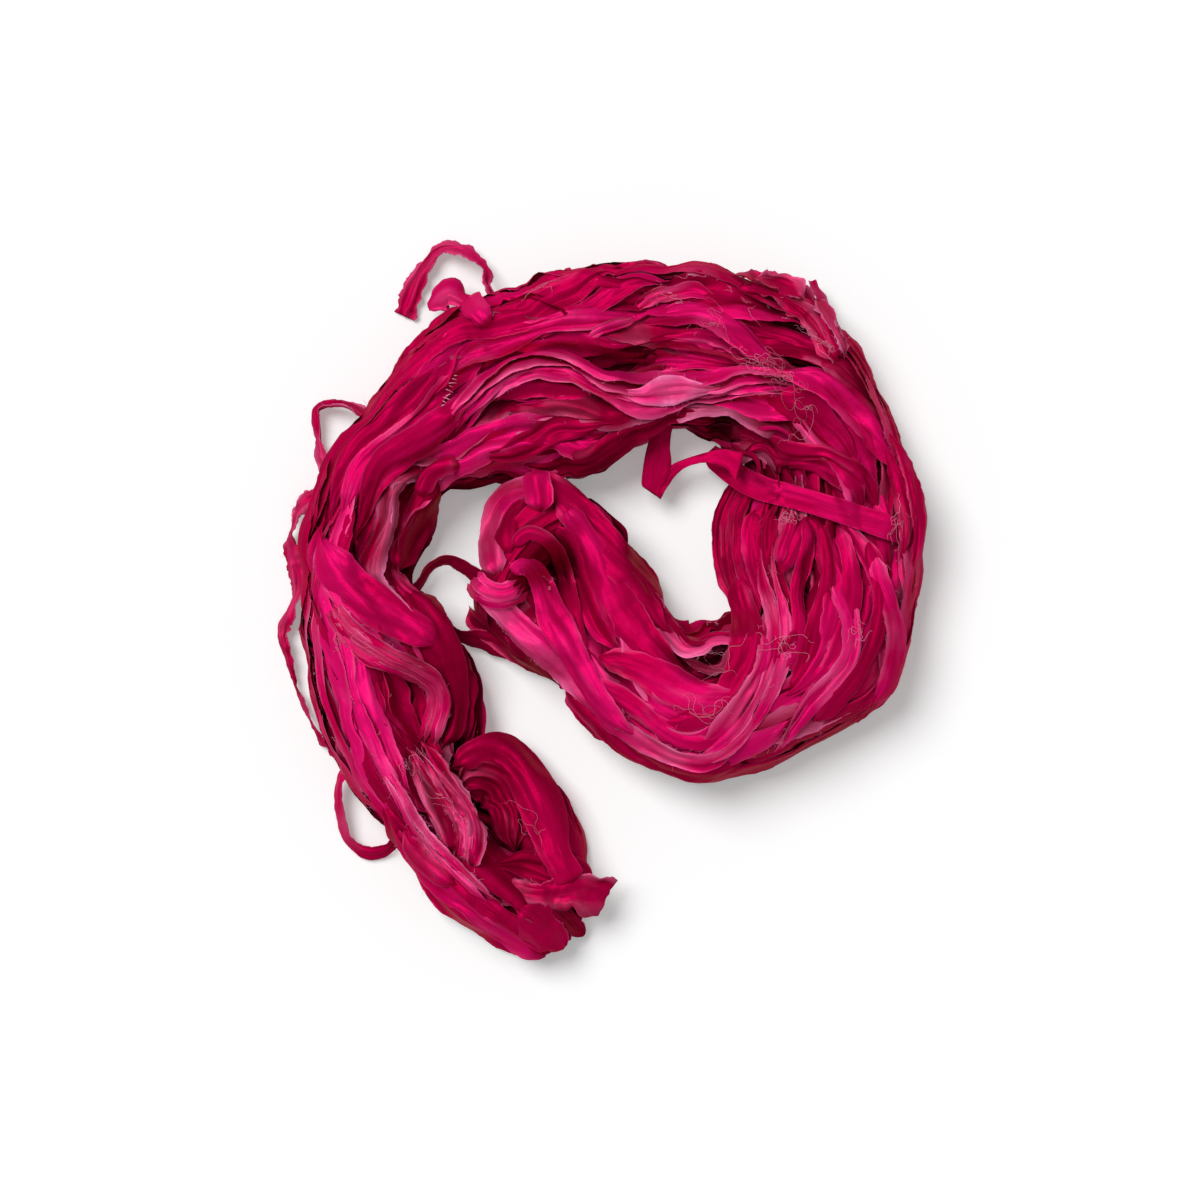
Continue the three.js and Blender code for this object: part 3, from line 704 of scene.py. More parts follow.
# Ribbons that show on the hank's face, lowest first. A dive of 0 is a free end. Extra holds what differs
# from the shared look: count and spread of side by side ribbons, lean that lifts the outer side, and so on.
ribbonColumns = ("stretch", "flat", "fold", "cup", "tone", "wearAndCrestHighlight", "dives", "path", "extra")
faceRows = [
    ("left", 19, 0.7, 0, 0.4, 0.1, (25, 25),
     [(120, 0.97), (160, 0.99), (200, 1), (240, 0.98), (280, 0.99), (325, 0.97)],
     {"count": 2, "spread": 0.05, "lean": 8, "ragged": 2, "flutter": 1.7}),
    ("top", 19, 0.7, 0, 0.4, 0.05, (25, 25),
     [(292, 0.98), (330, 0.97), (365, 1), (400, 0.96), (440, 0.99), (480, 0.96), (520, 0.99)],
     {"count": 2, "spread": 0.06, "lean": 8, "ragged": 2, "flutter": 1.7}),
    ("right", 20, 0.7, 0, 0.4, 0.08, (25, 25),
     [(500, 0.98), (545, 0.99), (590, 0.97), (640, 1), (690, 0.98), (740, 0.99), (780, 0.97)],
     {"count": 2, "spread": 0.06, "lean": 8, "ragged": 2, "flutter": 1.7}),
    ("end", 20, 0.6, 0, 0.45, 0.05, (25, 25),
     [(760, 0.98), (800, 0.99), (840, 0.97), (880, 0.99), (920, 0.97), (960, 0.98)],
     {"count": 2, "spread": 0.06, "lean": 8, "ragged": 2, "flutter": 1.7}),
    ("left", 20.5, 0.5, -0.4, 0.1, 0, (30, 20),
     [(292, -0.85), (262, -0.9), (235, -0.88), (207, -0.88), (180, -0.95), (152, -0.97)]),
    ("left", 16, 0.64, -0.2, 0.6, 0.06, (25, 14),
     [(352, -0.72), (330, -0.8), (308, -0.84), (288, -0.88), (270, -0.97)]),
    ("left", 13.5, 0.92, 0, 0.5, 0.08, (20, 20), [(262, 0.97), (236, 0.99), (210, 0.98), (178, 0.96)]),
    ("left", 12.5, 0.92, 0, 0.45, 0.06, (20, 20),
     [(218, 0.15), (200, 0.08), (182, 0.12), (165, 0.02), (148, -0.1)],
     {"count": 2, "spread": 0.16, "lean": 20}),
    ("left", 13.5, 0.92, -0.2, 0.85, 0.14, (25, 25),
     [(278, 0.5), (243, 0.42), (218, 0.45), (195, 0.42), (172, 0.45), (145, 0.5), (118, 0.5)],
     {"count": 3, "spread": 0.16, "lean": -10}),
    ("left", 9.5, 0.92, 0, 0.8, 0.33, (14, 14),
     [(282, 0.66), (262, 0.5), (245, 0.28), (232, 0.05), (224, -0.18), (213, -0.46), (202, -0.62)],
     {"lean": -25}),
    ("left", 11, 0.92, 0, 0.6, 0.19, (14, 14),
     [(234, 0.42), (221, 0.28), (212, -0.02), (206, -0.32), (197, -0.58), (184, -0.7)], {"lean": -25}),
    ("left", 9.5, 0.92, 0, 0.6, 0.28, (20, 20),
     [(292, 0.8), (268, 0.78), (248, 0.76), (225, 0.84), (208, 0.86), (188, 0.86), (165, 0.8), (138, 0.8)],
     {"count": 2, "spread": 0.13, "lean": 10}),
    ("top", 19, 0.64, -0.3, 0.08, 0, (30, 30),
     [(395, -0.9), (430, -0.93), (465, -0.9), (500, -0.85), (540, -0.85), (580, -0.88)]),
    ("top", 16, 0.78, 0, 0.15, 0, (25, 25),
     [(368, -0.6), (400, -0.68), (440, -0.62), (470, -0.68), (497, -0.8)]),
    ("top", 20.5, 0.57, -0.3, 0.42, 0.03, (30, 30),
     [(350, 0.88), (380, 0.84), (405, 0.79), (430, 0.77), (455, 0.77), (480, 0.85), (507, 0.9)]),
    ("top", 17.5, 0.78, 0, 0.5, 0.08, (20, 20),
     [(488, 0.82), (508, 0.92), (530, 0.92), (552, 0.92), (577, 0.9), (602, 0.88)]),
    ("top", 16, 0.78, -0.2, 0.5, 0.03, (20, 20),
     [(302, 0.75), (330, 0.64), (352, 0.6), (377, 0.6), (402, 0.58)]),
    ("top", 14.5, 0.78, -0.2, 0.6, 0.08, (20, 20),
     [(300, 0.5), (320, 0.42), (340, 0.33), (360, 0.3), (378, 0.36), (393, 0.42), (410, 0.42),
      (432, 0.36)]),
    ("top", 14.5, 0.78, 0, 0.6, 0.06, (16, 16),
     [(438, 0.5), (460, 0.52), (480, 0.62), (500, 0.75), (522, 0.8)]),
    ("top", 17.5, 0.71, -0.2, 0.85, 0.14, (20, 20),
     [(394, 0.52), (412, 0.56), (428, 0.58), (446, 0.55), (466, 0.48), (486, 0.42), (507, 0.4)]),
    ("top", 20, 0.57, -0.35, 0.52, 0.03, (25, 20),
     [(298, 0.2), (320, 0.12), (345, 0.03), (372, 0.02), (400, 0), (425, -0.02), (440, -0.08), (453, -0.18),
      (466, -0.32), (482, -0.46)], {"lean": -8}),
    ("top", 19, 0.64, -0.2, 0.75, 0.08, (16, 20),
     [(498, -0.36), (512, -0.3), (527, -0.22), (545, -0.14), (561, -0.08), (580, 0.02)]),
    ("top", 11, 0.78, 0, 0.65, 0.17, (16, 16),
     [(514, -0.02), (530, 0.02), (548, 0.08), (566, 0.1), (585, 0.15), (603, 0.25), (622, 0.45)],
     {"count": 2, "spread": 0.11}),
    ("top", 12, 0.92, 0, 0.7, 0.17, (12, 16),
     [(498, 0.42), (508, 0.55), (519, 0.66), (533, 0.7), (552, 0.68)]),
    ("top", 17.5, 0.64, -0.3, 0.85, 0.11, (16, 16),
     [(503, 0.26), (517, 0.34), (530, 0.41), (545, 0.4), (560, 0.33), (576, 0.24), (592, 0.2)]),
    ("top", 8, 0.92, 0, 0.8, 0.39, (8, 8),
     [(468, 0.2), (481, 0.26), (494, 0.3), (508, 0.37)], {"lean": 20}),
    ("top", 20.5, 0.57, -0.2, 0.8, 0.06, (16, 25),
     [(538, -0.68), (557, -0.6), (575, -0.5), (595, -0.34), (613, -0.12), (629, 0.1)]),
    ("top", 12, 0.71, -0.3, 0.8, 0.22, (20, 16),
     [(390, -0.08), (408, 0.06), (425, 0.15), (440, 0.15), (452, 0.07), (462, -0.04), (471, -0.2),
      (484, -0.4), (501, -0.56), (522, -0.62), (543, -0.55), (560, -0.38), (576, -0.15), (592, 0.05),
      (607, 0.26)], {"count": 4, "spread": 0.085, "lean": -32}),
    ("top", 19, 0.6, -0.4, 0.9, 0.85, (24, 26),
     [(484, -0.46), (502, -0.58), (523, -0.62), (545, -0.55), (562, -0.4)], {"lean": 12}),
    ("right", 17.5, 0.78, 0, 0.4, 0.03, (20, 20),
     [(640, -0.93), (665, -0.94), (690, -0.92), (715, -0.92), (740, -0.92)]),
    ("right", 16, 0.71, -0.2, 0.35, 0.06, (20, 20),
     [(650, -0.7), (678, -0.72), (703, -0.7), (727, -0.68), (752, -0.7)]),
    ("right", 14.5, 1.1, 0, 0.6, 0.22, (20, 20),
     [(612, 0.93), (640, 0.95), (670, 0.93), (700, 0.92), (735, 0.93), (767, 0.93)],
     {"count": 2, "spread": 0.12}),
    ("right", 17.5, 0.64, -0.2, 0.35, 0.06, (20, 20),
     [(715, -0.38), (738, -0.42), (760, -0.32), (784, -0.1)]),
    ("right", 17.5, 0.64, -0.3, 0.5, 0.03, (16, 20),
     [(662, 0.1), (680, 0.28), (700, 0.34), (725, 0.36), (752, 0.4)]),
    ("right", 24, 0.43, -0.25, 0.62, 0, (16, 20),
     [(588, -0.35), (603, -0.12), (616, 0.08), (630, 0.25), (645, 0.42), (660, 0.6)]),
    ("right", 22.5, 0.5, -0.3, 0.72, 0.07, (16, 20),
     [(588, 0.12), (604, 0.32), (620, 0.52), (636, 0.68), (652, 0.8), (670, 0.9)]),
    ("right", 14.5, 0.64, -0.2, 0.6, 0.08, (14, 16),
     [(606, -0.86), (621, -0.62), (634, -0.35), (645, -0.02), (656, 0.28), (667, 0.48), (681, 0.6)],
     {"count": 2, "spread": 0.2, "lean": 15}),
    ("right", 19, 0.57, -0.3, 0.55, 0.03, (16, 20),
     [(670, -0.32), (684, -0.14), (697, 0), (713, 0.1), (735, 0.14), (760, 0.18), (788, 0.3)],
     {"lean": -10}),
    ("right", 16, 0.43, -0.5, 0.6, 0.06, (14, 16),
     [(674, -0.18), (688, -0.3), (701, -0.4), (715, -0.5), (731, -0.6)]),
    ("right", 14.5, 0.64, -0.2, 0.75, 0.19, (16, 16),
     [(682, 0.18), (698, 0.42), (713, 0.56), (730, 0.7), (746, 0.8), (764, 0.88)]),
    ("right", 12, 0.78, 0, 0.75, 0.28, (14, 14),
     [(713, 0), (725, 0.08), (738, 0.24), (752, 0.38), (766, 0.42), (783, 0.5), (800, 0.72), (813, 0.9)],
     {"lean": -15}),
    ("right", 15, 0.64, -0.2, 0.7, 0.28, (14, 14),
     [(726, -0.95), (741, -0.78), (755, -0.62), (768, -0.48), (782, -0.28), (797, -0.08), (812, 0.15),
      (825, 0.38), (838, 0.62)], {"lean": -10}),
    ("end", 19, 0.64, -0.3, 0.35, 0.03, (25, 25),
     [(752, 0.9), (775, 0.92), (800, 0.91), (825, 0.93), (852, 0.93), (880, 0.93), (907, 0.9)],
     {"count": 2, "spread": 0.1}),
    ("end", 16, 0.78, -0.2, 0.75, 0.11, (16, 16),
     [(798, 0.6), (823, 0.7), (845, 0.75), (865, 0.72), (885, 0.7), (907, 0.6)]),
    ("end", 16, 0.78, -0.2, 0.85, 0.19, (16, 14),
     [(907, 0.42), (888, 0.5), (870, 0.55), (853, 0.58), (839, 0.5), (827, 0.3)], {"lean": 15}),
    ("end", 14.5, 0.64, -0.2, 0.6, 0.08, (14, 14),
     [(907, 0.2), (888, 0.27), (868, 0.3), (848, 0.32), (831, 0.2)], {"lean": 10}),
]
# Ribbons whose paths are given as x and y, which suits the tail and the looped end better.
placedRows = [
    ("left", 19, 0.4, -0.35, 0.3, 0.05, (8, 8),
     [(-94, 75), (-103, 60), (-108, 45), (-116, 29), (-122, 14)]),
    ("left", 14, 0.3, -0.8, 0.42, 0.1, (6, 5),
     [(-80, 80), (-91, 79), (-100, 74), (-105, 65), (-106, 57)], {"over": 1}),
    ("left", 24, 0.3, -0.4, 0.16, 0, (12, 10),
     [(-116, 10), (-106, -6), (-98, -20), (-92, -34), (-88, -48), (-86, -62), (-88, -76), (-94, -90)]),
    ("left", 6.5, 0.8, -0.3, 0.55, 0.32, (12, 12),
     [(-161, 2), (-153, -13), (-141, -25), (-126, -34), (-111, -41), (-99, -49), (-95, -60), (-99, -76),
      (-105, -92)], {"count": 4, "spread": 3.2, "lean": 10}),
    ("left", 26, 0.4, -0.3, 0.7, 0.03, (20, 12),
     [(-168, 44), (-163, 31), (-155, 18), (-144, 7), (-130, -4), (-116, -13), (-102, -21), (-91, -31)],
     {"lean": -6, "leaf": 0.15, "ragged": 0.3, "flutter": 0.3}),
    ("right", 8, 0.5, -0.3, 0.38, 0.1, (8, 8),
     [(92, 74), (85, 64), (80, 53), (78.5, 42), (78.5, 28), (82, 13), (88, 2), (92, -12)],
     {"count": 4, "spread": 3.6}),
    ("right", 11, 0.5, -0.4, 0.55, 0.08, (8, 12),
     [(96, 58), (91, 46), (91, 30), (95, 14), (103, -3), (107, -20), (105, -40), (98, -56)]),
    ("right", 11, 0.5, -0.4, 0.22, 0.03, (8, 12),
     [(105, 57), (102, 44), (102, 28), (106, 10), (112, -8), (115, -24), (112, -42)]),
    ("right", 12, 0.55, -0.4, 0.6, 0.08, (8, 12),
     [(121, 52), (124, 38), (121, 20), (117, 4), (118, -12), (114, -30), (104, -50)]),
    ("right", 12, 0.6, -0.4, 0.7, 0.14, (6, 6),
     [(117, 55), (113, 42), (108, 29), (107, 17)], {"lean": 8, "leaf": 0.4}),
    ("right", 11, 0.5, -0.4, 0.3, 0.05, (8, 12),
     [(130, 50), (134, 36), (136, 16), (132, -4), (127, -20), (121, -40), (110, -58)]),
    ("right", 13, 0.5, -0.35, 0.6, 0.06, (8, 12),
     [(141, 46), (147, 28), (149, 8), (146, -12), (139, -32), (128, -52), (113, -70)]),
    ("right", 9, 0.9, -0.3, 0.85, 0.3, (10, 14),
     [(149, 4), (151, -18), (149, -35), (141, -48), (125, -65), (112, -82), (104, -94)]),
    ("right", 12, 0.5, -0.3, 0.42, 0.05, (10, 14),
     [(157, 40), (163, 20), (166, 0), (163, -22), (154, -42), (140, -60), (122, -76)]),
    ("right", 13, 0.45, -0.3, 0.75, 0.2, (10, 14),
     [(161, 32), (166, 12), (174, -10), (176, -32), (170, -52), (158, -66)]),
    ("tail", 22, 0.5, 0, 0.25, 0, (16, 0),
     [(-66, -158), (-46, -158), (-30, -161), (-16, -165), (-5, -173)]),
    ("tail", 44, 0.15, -0.3, 0.2, 0.12, (8, 12),
     [(-86, -112), (-75, -108), (-65, -109), (-58, -116), (-54, -127), (-52, -140), (-50, -153)],
     {"lean": 6, "pleats": (3.6, 1.15), "drift": 0.12, "columns": 52, "leaf": 0.1, "crumple": 0.05,
      "ragged": 0.3, "flutter": 0.3}),
    ("tail", 22, 0.9, 0, 0.45, 0.1, (20, 0),
     [(-132, -116), (-122, -132), (-114, -150), (-103, -168), (-80, -186), (-58, -202), (-38, -213)]),
    ("tail", 19, 1, 0, 0.6, 0.1, (20, 0),
     [(-122, -124), (-112, -142), (-98, -158), (-82, -173), (-64, -188), (-46, -201), (-30, -211)],
     {"count": 2, "spread": 9, "lean": 10}),
    ("tail", 15, 0.5, -0.3, 0.6, 0.2, (10, 12),
     [(-117, -134), (-112, -144), (-104, -154), (-94, -162), (-80, -172)]),
    ("tail", 24, 0.35, 0, 0.42, 0.1, (12, 0),
     [(-52, -180), (-42, -188), (-32, -198), (-20, -210)], {"flare": 0.2, "ragged": 2.2, "flutter": 1.5}),
    ("tail", 16, 0.5, 0, 0.15, 0, (12, 0), [(-34, -172), (-26, -182), (-17, -193), (-9, -202)]),
    ("tail", 22, 0.2, -0.4, 0.27, 0.02, (8, 4),
     [(-88, -101), (-79, -94.5), (-70, -90), (-61, -88.5), (-52, -94), (-43, -106), (-35, -120),
      (-30, -135), (-26, -150), (-19, -163), (-14, -172)],
     {"flare": 0.25, "over": 2.5, "leaf": 0.25, "crumple": 0.05, "ragged": 0.3, "flutter": 0.3}),
    ("tail", 16, 1.1, 0.2, 0.55, 0.35, (16, 6),
     [(-116, -84), (-110, -95), (-101, -109), (-93, -124), (-87, -139), (-85, -152)],
     {"flare": 0.35, "over": 1}),
    ("tail", 12, 1.3, 0.3, 0.6, 0.42, (16, 3),
     [(-112, -84), (-103, -94), (-93, -108), (-83, -122), (-77, -134), (-77, -147), (-80, -157)],
     {"count": 3, "spread": 5, "flare": 0.3, "lean": 8, "over": 1, "crumple": 1.3, "ragged": 1.2,
      "flutter": 1.2}),
    ("tail", 6, 0.8, -0.2, 0.8, 0.5, (16, 12),
     [(-132, -94), (-124, -104), (-117, -116), (-110, -130), (-98, -145), (-83, -160), (-70, -172),
      (-60, -183)], {"count": 2, "spread": 3.5, "lean": 30}),
    ("end", 14, 0.5, -0.2, 0.1, 0.1, (6, 16),
     [(-79, -3), (-74, -12), (-62, -21), (-48, -32), (-35, -42), (-23, -52)]),
    ("end", 17, 0.5, -0.2, 0.3, 0.15, (12, 20),
     [(-21, -42), (-13, -55), (-4, -66), (7, -78), (17, -88), (36, -96), (54, -102), (72, -100), (90, -97)],
     {"lean": 10}),
    ("end", 16, 0.3, -0.3, 0.35, 0.05, (3, 20),
     [(-38, 73), (-29, 68), (-19, 61.5), (-9, 54), (1, 43), (12, 31), (25, 17), (35, 4), (40, -10)]),
    ("end", 15, 0.35, -0.3, 0.42, 0.05, (10, 20),
     [(-30, 62), (-20, 52), (-9, 39), (5, 25), (20, 10), (30, -5), (39, -17), (50, -24)], {"lean": -6}),
    ("end", 21, 0.28, -0.35, 0.55, 0.05, (10, 20),
     [(-24, 57), (-15, 48), (-5, 32), (4, 12), (14, -7), (27, -24), (41, -37), (58, -45)]),
    ("end", 15, 0.35, -0.35, 0.45, 0.05, (10, 18),
     [(-30, 47), (-20, 38), (-12, 26), (-7, 10), (-2, -8), (7, -24), (20, -34)], {"lean": 6}),
    ("end", 15, 0.3, -0.4, 0.3, 0.05, (8, 12),
     [(-40, 62), (-48, 58), (-53, 49), (-54, 38), (-53, 28), (-52, 20)], {"over": 1}),
    ("end", 11, 0.35, -0.5, 0.6, 0.12, (4, 18),
     [(-48, 29), (-46, 36), (-39.5, 39.5), (-31.5, 36.5), (-25, 29), (-21, 18), (-18.5, 5), (-15, -9),
      (-9, -24), (0, -38)], {"lean": 10, "over": 1}),
    ("end", 16, 0.4, -0.35, 0.75, 0.38, (2, 8),
     [(-33, 67), (-41, 67.5), (-50, 65), (-57, 60.5), (-62, 53), (-64.5, 41), (-63.5, 28), (-60.5, 18),
      (-57, 10)], {"over": 3, "leaf": 0.1}),
    ("end", 18, 0.5, -0.4, 0.66, 0.12, (3, 7),
     [(-38, 78), (-36.5, 69), (-35, 59), (-35.5, 48)], {"over": 3.5, "leaf": 0.15, "ragged": 0.8}),
    ("end", 21, 0.45, -0.4, 0.8, 0.42, (4, 26),
     [(-71, 9), (-65, 1), (-57, -7), (-46, -19), (-35, -28), (-25, -37), (-16, -46), (-9, -57), (-2, -68),
      (5, -78)], {"flare": -0.3, "over": 1}),
    ("end", 7, 0.5, -0.4, 0.75, 0.25, (2, 6),
     [(-76, 13), (-71, 7), (-64, 3), (-56, 2), (-49, 5), (-44, 10)],
     {"count": 4, "spread": 3.2, "lean": 10, "over": 2, "leaf": 0.1}),
    ("end", 14, 0.5, -0.3, 0.62, 0.15, (12, 18),
     [(-10, -42), (0, -50), (14, -58), (28, -68), (40, -78), (52, -84), (66, -83), (80, -74)],
     {"lean": 12}),
    ("end", 12, 0.5, -0.3, 0.75, 0.4, (12, 18),
     [(-6, -60), (4, -70), (16, -78), (31, -87), (47, -94), (63, -96), (77, -89), (86, -75)], {"lean": 12}),
    ("end", 19, 0.45, -0.5, 0.82, 0.1, (2, 22),
     [(-51, 14), (-47, 19), (-40, 18), (-35, 11), (-31, 0), (-27, -11), (-20, -24), (-13, -37), (-5, -52),
      (3, -64), (16, -76), (32, -85)], {"flare": -0.2, "over": 1.5, "leaf": 0.4}),
    ("end", 19, 0.4, -0.3, 0.42, 0.05, (12, 16),
     [(83, 20), (84, 4), (88, -15), (86, -35), (78, -53), (64, -66), (46, -72), (28, -70)]),
    ("end", 9, 0.9, -0.3, 0.68, 0.34, (26, 16),
     [(100, 38), (100, 18), (105, -4), (106, -24), (101, -48), (88, -72), (72, -88), (54, -97)],
     {"count": 2, "spread": 6}),
    ("end", 20, 0.15, -0.15, 0.62, 0.14, (8, 16),
     [(-2, -33), (6, -35), (16, -37.5), (27, -41.5), (40, -49), (54, -56), (66, -58.5), (78, -56),
      (88, -48)], {"leaf": 0.35, "over": 0.5}),
    ("top", 17, 1.2, 0, 0.42, 0.2, (12, 8),
     [(76, 190), (88, 189), (99, 187), (109, 184), (118, 178), (126, 171), (133, 162), (138, 151),
      (146, 139)], {"count": 2, "spread": 7, "lean": 10, "ragged": 2.2, "flutter": 2, "lowest": 19}),
    ("top", 15, 1.3, 0, 0.5, 0.4, (5, 6),
     [(92, 192), (101, 191), (110, 190), (118, 184), (123, 177)],
     {"lean": 10, "ragged": 2.4, "flutter": 2, "over": 1, "lowest": 22}),
    ("top", 13, 1.3, 0, 0.36, 0.4, (5, 6),
     [(129, 182), (134, 174), (138, 164), (143, 153), (146, 142)],
     {"ragged": 2.4, "flutter": 2, "over": 1, "lowest": 20}),
    ("top", 17, 1.3, -0.2, 0.66, 0.15, (4, 3),
     [(-64, 161), (-70, 168), (-76, 176), (-82, 183)],
     {"over": 3, "leaf": 0.15, "crumple": 1.2, "ragged": 1.2}),
]
# The last ones: a pair at the right edge, one flat ribbon that crosses over all, and a loose pair.
rightEdgeRow = (
    "right", 17, 0.6, -0.3, 0.6, 0.25, (20, 25),
     [(655, 0.97), (680, 0.93), (700, 0.9), (722, 0.92), (745, 0.9), (775, 0.94)],
     {"count": 2, "spread": 0.07, "lean": 10}
)
lastRows = [
    ("right", 14.5, 0.05, -0.1, 0.6, 0, (5, 14),
     [(66, 90), (71, 84.5), (79, 77), (89, 70), (101, 65), (113, 61.5), (128, 57), (143, 52), (158, 47),
      (169, 43), (178, 38.5), (184, 34)],
     {"lean": 4, "crumple": 0.04, "over": 1.5, "vary": 0.05, "stiff": 1, "tilt": 0, "leaf": 0,
      "taper": 0.3, "ragged": 0.1, "flutter": 0.1, "bridge": 24, "level": 0.8, "highest": 54}),
    ("right", 12, 0.7, -0.3, 0.45, 0.14, (30, 26),
     [(163, 104), (173, 92), (180, 76), (184.5, 58), (186, 42), (184, 26), (179, 8)],
     {"count": 2, "spread": 8, "over": 1, "leaf": 0.5, "ragged": 1.1}),
]
faceLook = dict(
    plain, count=1, spread=0, sway=22, step=1.5, columns=16, ragged=0.5, flutter=0.45, creased=0.55, tilt=12,
    leaf=0.25, clear=0.4, bridge=8, dip=7, cap=9, ceiling=54,
    placedTone=0.06, faceTone=0.08,  # how far each ribbon's tone strays from its row's
    placedDives=1.4, faceDives=2,  # times by which a row's dives are stretched
    longestDive=0.42,  # share of a ribbon's length that one dive takes at most
    scatter=0.4,  # how far a placed ribbon is moved at random
)


def aside(path, reach):
    # The path moved sideways by reach.
    ahead = unit(np.gradient(path, axis=0))
    return path + reach * np.stack([-ahead[:, 1], ahead[:, 0]], -1)


def ribbonLook(row, values):
    # A row's values over the shared ones. Creases follow the folds, unless the row gives its own.
    given = dict(zip(ribbonColumns, row))
    look = dict(values, **given, crumple=values["creased"] * given["fold"])
    look.update(given.get("extra", {}))
    return look


def sideBySide(look):
    # Sideways shifts of the ribbons of one row, spread evenly about its path.
    return [look["spread"] * (k - (look["count"] - 1) / 2) for k in range(look["count"])]


def stretchedDives(look, times, length):
    return tuple(min(times * dive, look["longestDive"] * length) for dive in look["dives"])


def layPlacedRibbon(row, values):
    look = ribbonLook(row, values)
    path = curveThrough(look["path"], np.linspace(0, 1, 80))
    for shift in sideBySide(look):
        way = aside(path, shift)
        tone = look["tone"] + look["placedTone"] * rng.uniform(-1, 1)
        dives = stretchedDives(look, look["placedDives"], runningLength(way)[-1])
        way = way + look["scatter"] * rng.normal(0, 1, 2)
        layOnTop("face_ribbons_" + look["stretch"], way, dict(look, tone=tone, dives=dives))


def carriedOn(path, look):
    # The path with a short straight run beyond each end that dives.
    before = (path[0] - path[30]) * np.linspace(1.6, 0.1, 16)[:, None] * (look["dives"][0] > 0) + path[0]
    beyond = (path[-1] - path[-31]) * np.linspace(0.1, 1.6, 16)[:, None] * (look["dives"][1] > 0) + path[-1]
    return np.concatenate([before, path, beyond])


def layFaceRibbon(row, values):
    look = ribbonLook(row, values)
    path = carriedOn(curveThrough(look["path"], np.linspace(0, 1, 600)), look)
    along = path[:, 0]
    for shift in sideBySide(look):
        across = path[:, 1] + shift + 0.02 * wander(along, 60) * (look["count"] > 1)
        turn = turnAt(np.clip(across, -1, 1))
        own = dict(look, tone=look["tone"] + look["faceTone"] * rng.uniform(-1, 1))
        own["lean"] = look["lean"] + look["sway"] * rng.uniform(-1, 1)
        own["dives"] = stretchedDives(look, look["faceDives"], runningLength(hankPoint(along, turn))[-1])
        layStrip("face_ribbons_" + look["stretch"], along, turn, own)


for row in faceRows:
    layFaceRibbon(row, faceLook)
for row in placedRows:
    layPlacedRibbon(row, faceLook)
layFaceRibbon(rightEdgeRow, faceLook)
for row in lastRows:
    layPlacedRibbon(row, faceLook)
reportPile("face ribbons laid:")


def squares(index):
    # A four-sided face between each four neighbours of a grid of point numbers.
    corners = [index[:-1, :-1], index[1:, :-1], index[1:, 1:], index[:-1, 1:]]
    return np.stack(corners, -1).reshape(-1, 4)


def makeMesh(name, strips):
    # Grids of points joined into one mesh.
    counts = [s["points"].shape[0] * s["points"].shape[1] for s in strips]
    starts = np.concatenate([[0], np.cumsum(counts)])
    faces = []
    for strip, start in zip(strips, starts):
        rows, columns = strip["points"].shape[:2]
        faces.append(squares(start + np.arange(rows * columns).reshape(rows, columns)))
    faces = np.concatenate(faces)
    mesh = bpy.data.meshes.new(name)
    mesh.vertices.add(starts[-1])
    places = np.concatenate([s["points"].reshape(-1, 3) for s in strips])
    mesh.vertices.foreach_set("co", places.astype(np.float32).ravel())
    mesh.loops.add(faces.size)
    mesh.polygons.add(len(faces))
    mesh.polygons.foreach_set("loop_start", np.arange(0, faces.size, 4, dtype=np.int32))
    mesh.loops.foreach_set("vertex_index", faces.astype(np.int32).ravel())
    uvs = np.concatenate([s["uv"].reshape(-1, 2) for s in strips])
    mesh.uv_layers.new(name="UVMap").data.foreach_set("uv", uvs[faces.ravel()].astype(np.float32).ravel())
    # The wear attribute holds real wear and the painted crest highlight.
    for key in ("tone", "wearAndCrestHighlight", "edge"):
        layer = mesh.attributes.new(key, "FLOAT", "POINT")
        layer.data.foreach_set("value", np.concatenate([s[key].ravel() for s in strips]).astype(np.float32))
    mesh.update(calc_edges=True)
    mesh.validate()
    mesh.shade_smooth()
    return addObject(name, mesh)


silk = {
    "deep": (0.22, 0.0001, 0.02, 1),
    "body": (0.43, 0.0003, 0.053, 1),
    "bright": (0.76, 0.006, 0.155, 1),
    # the pale dye is mixed in where worn, and also paints the crest and edge highlights
    "pale": (0.93, 0.26, 0.52, 1),
    "satin": 0.3,  # share of the light that is mirrored in the dye's own colour
    "roughness": 0.36,
    "wornRoughness": 0.25,  # added where it is worn, and where the painted crest and edge highlights fall
    "gloss": 0.02,
    "glossTint": (1, 0.03, 0.25, 1),
    "creaseDepth": 0.75,
    "creaseStrength": 0.8,
}
# Grain of the silk: repeats for each metre along the ribbon and across it, then how each is used.
grain = {
    "streaks": (14, 150, 1),
    "patches": (24, 70, 1),
    "fibres": (250, 1600, 1),
    "creases": (22, 210, 1),
    "crumples": (75, 130, 1),
    "weave": 900,
    "weaveDepth": 0.06,  # against a depth of 1 for the creases
    "crumpleDepth": 0.8,
    "streakTone": (0.4, -0.2),  # times the streaks, plus
    "patchTone": (0.55, -0.27),
    "edgeRub": (1.1, 0.5),  # the edge rubs more than the middle
    "edgePower": 4,
    "rubbedFrom": 0.33,
    "rubbedPatches": 0.5,
    "fibreKeeps": 0.35,  # dye left on the fibres where rubbed
    "rim": (0.93, 1.03),  # where the pale rim starts and is full, of half the width: frayed where worn, with a faint painted highlight on every edge
    "rimStrays": 0.06,
    # rim paleness: times the wear, plus a small painted edge highlight on every ribbon
    "frayAndEdgeHighlight": (1.1, 0.03),
}


def addSocket(group, name, direction, kind):
    return group.interface.new_socket(name=name, in_out=direction, socket_type="NodeSocket" + kind)


def startGroup(name):
    # A node group that takes the ribbon's own coordinates.
    group = bpy.data.node_groups.new(name, "ShaderNodeTree")
    addSocket(group, "Ribbon", "INPUT", "Vector")
    nodes = group.nodes
    return group, nodes, group.links, nodes.new("NodeGroupInput"), nodes.new("NodeGroupOutput")


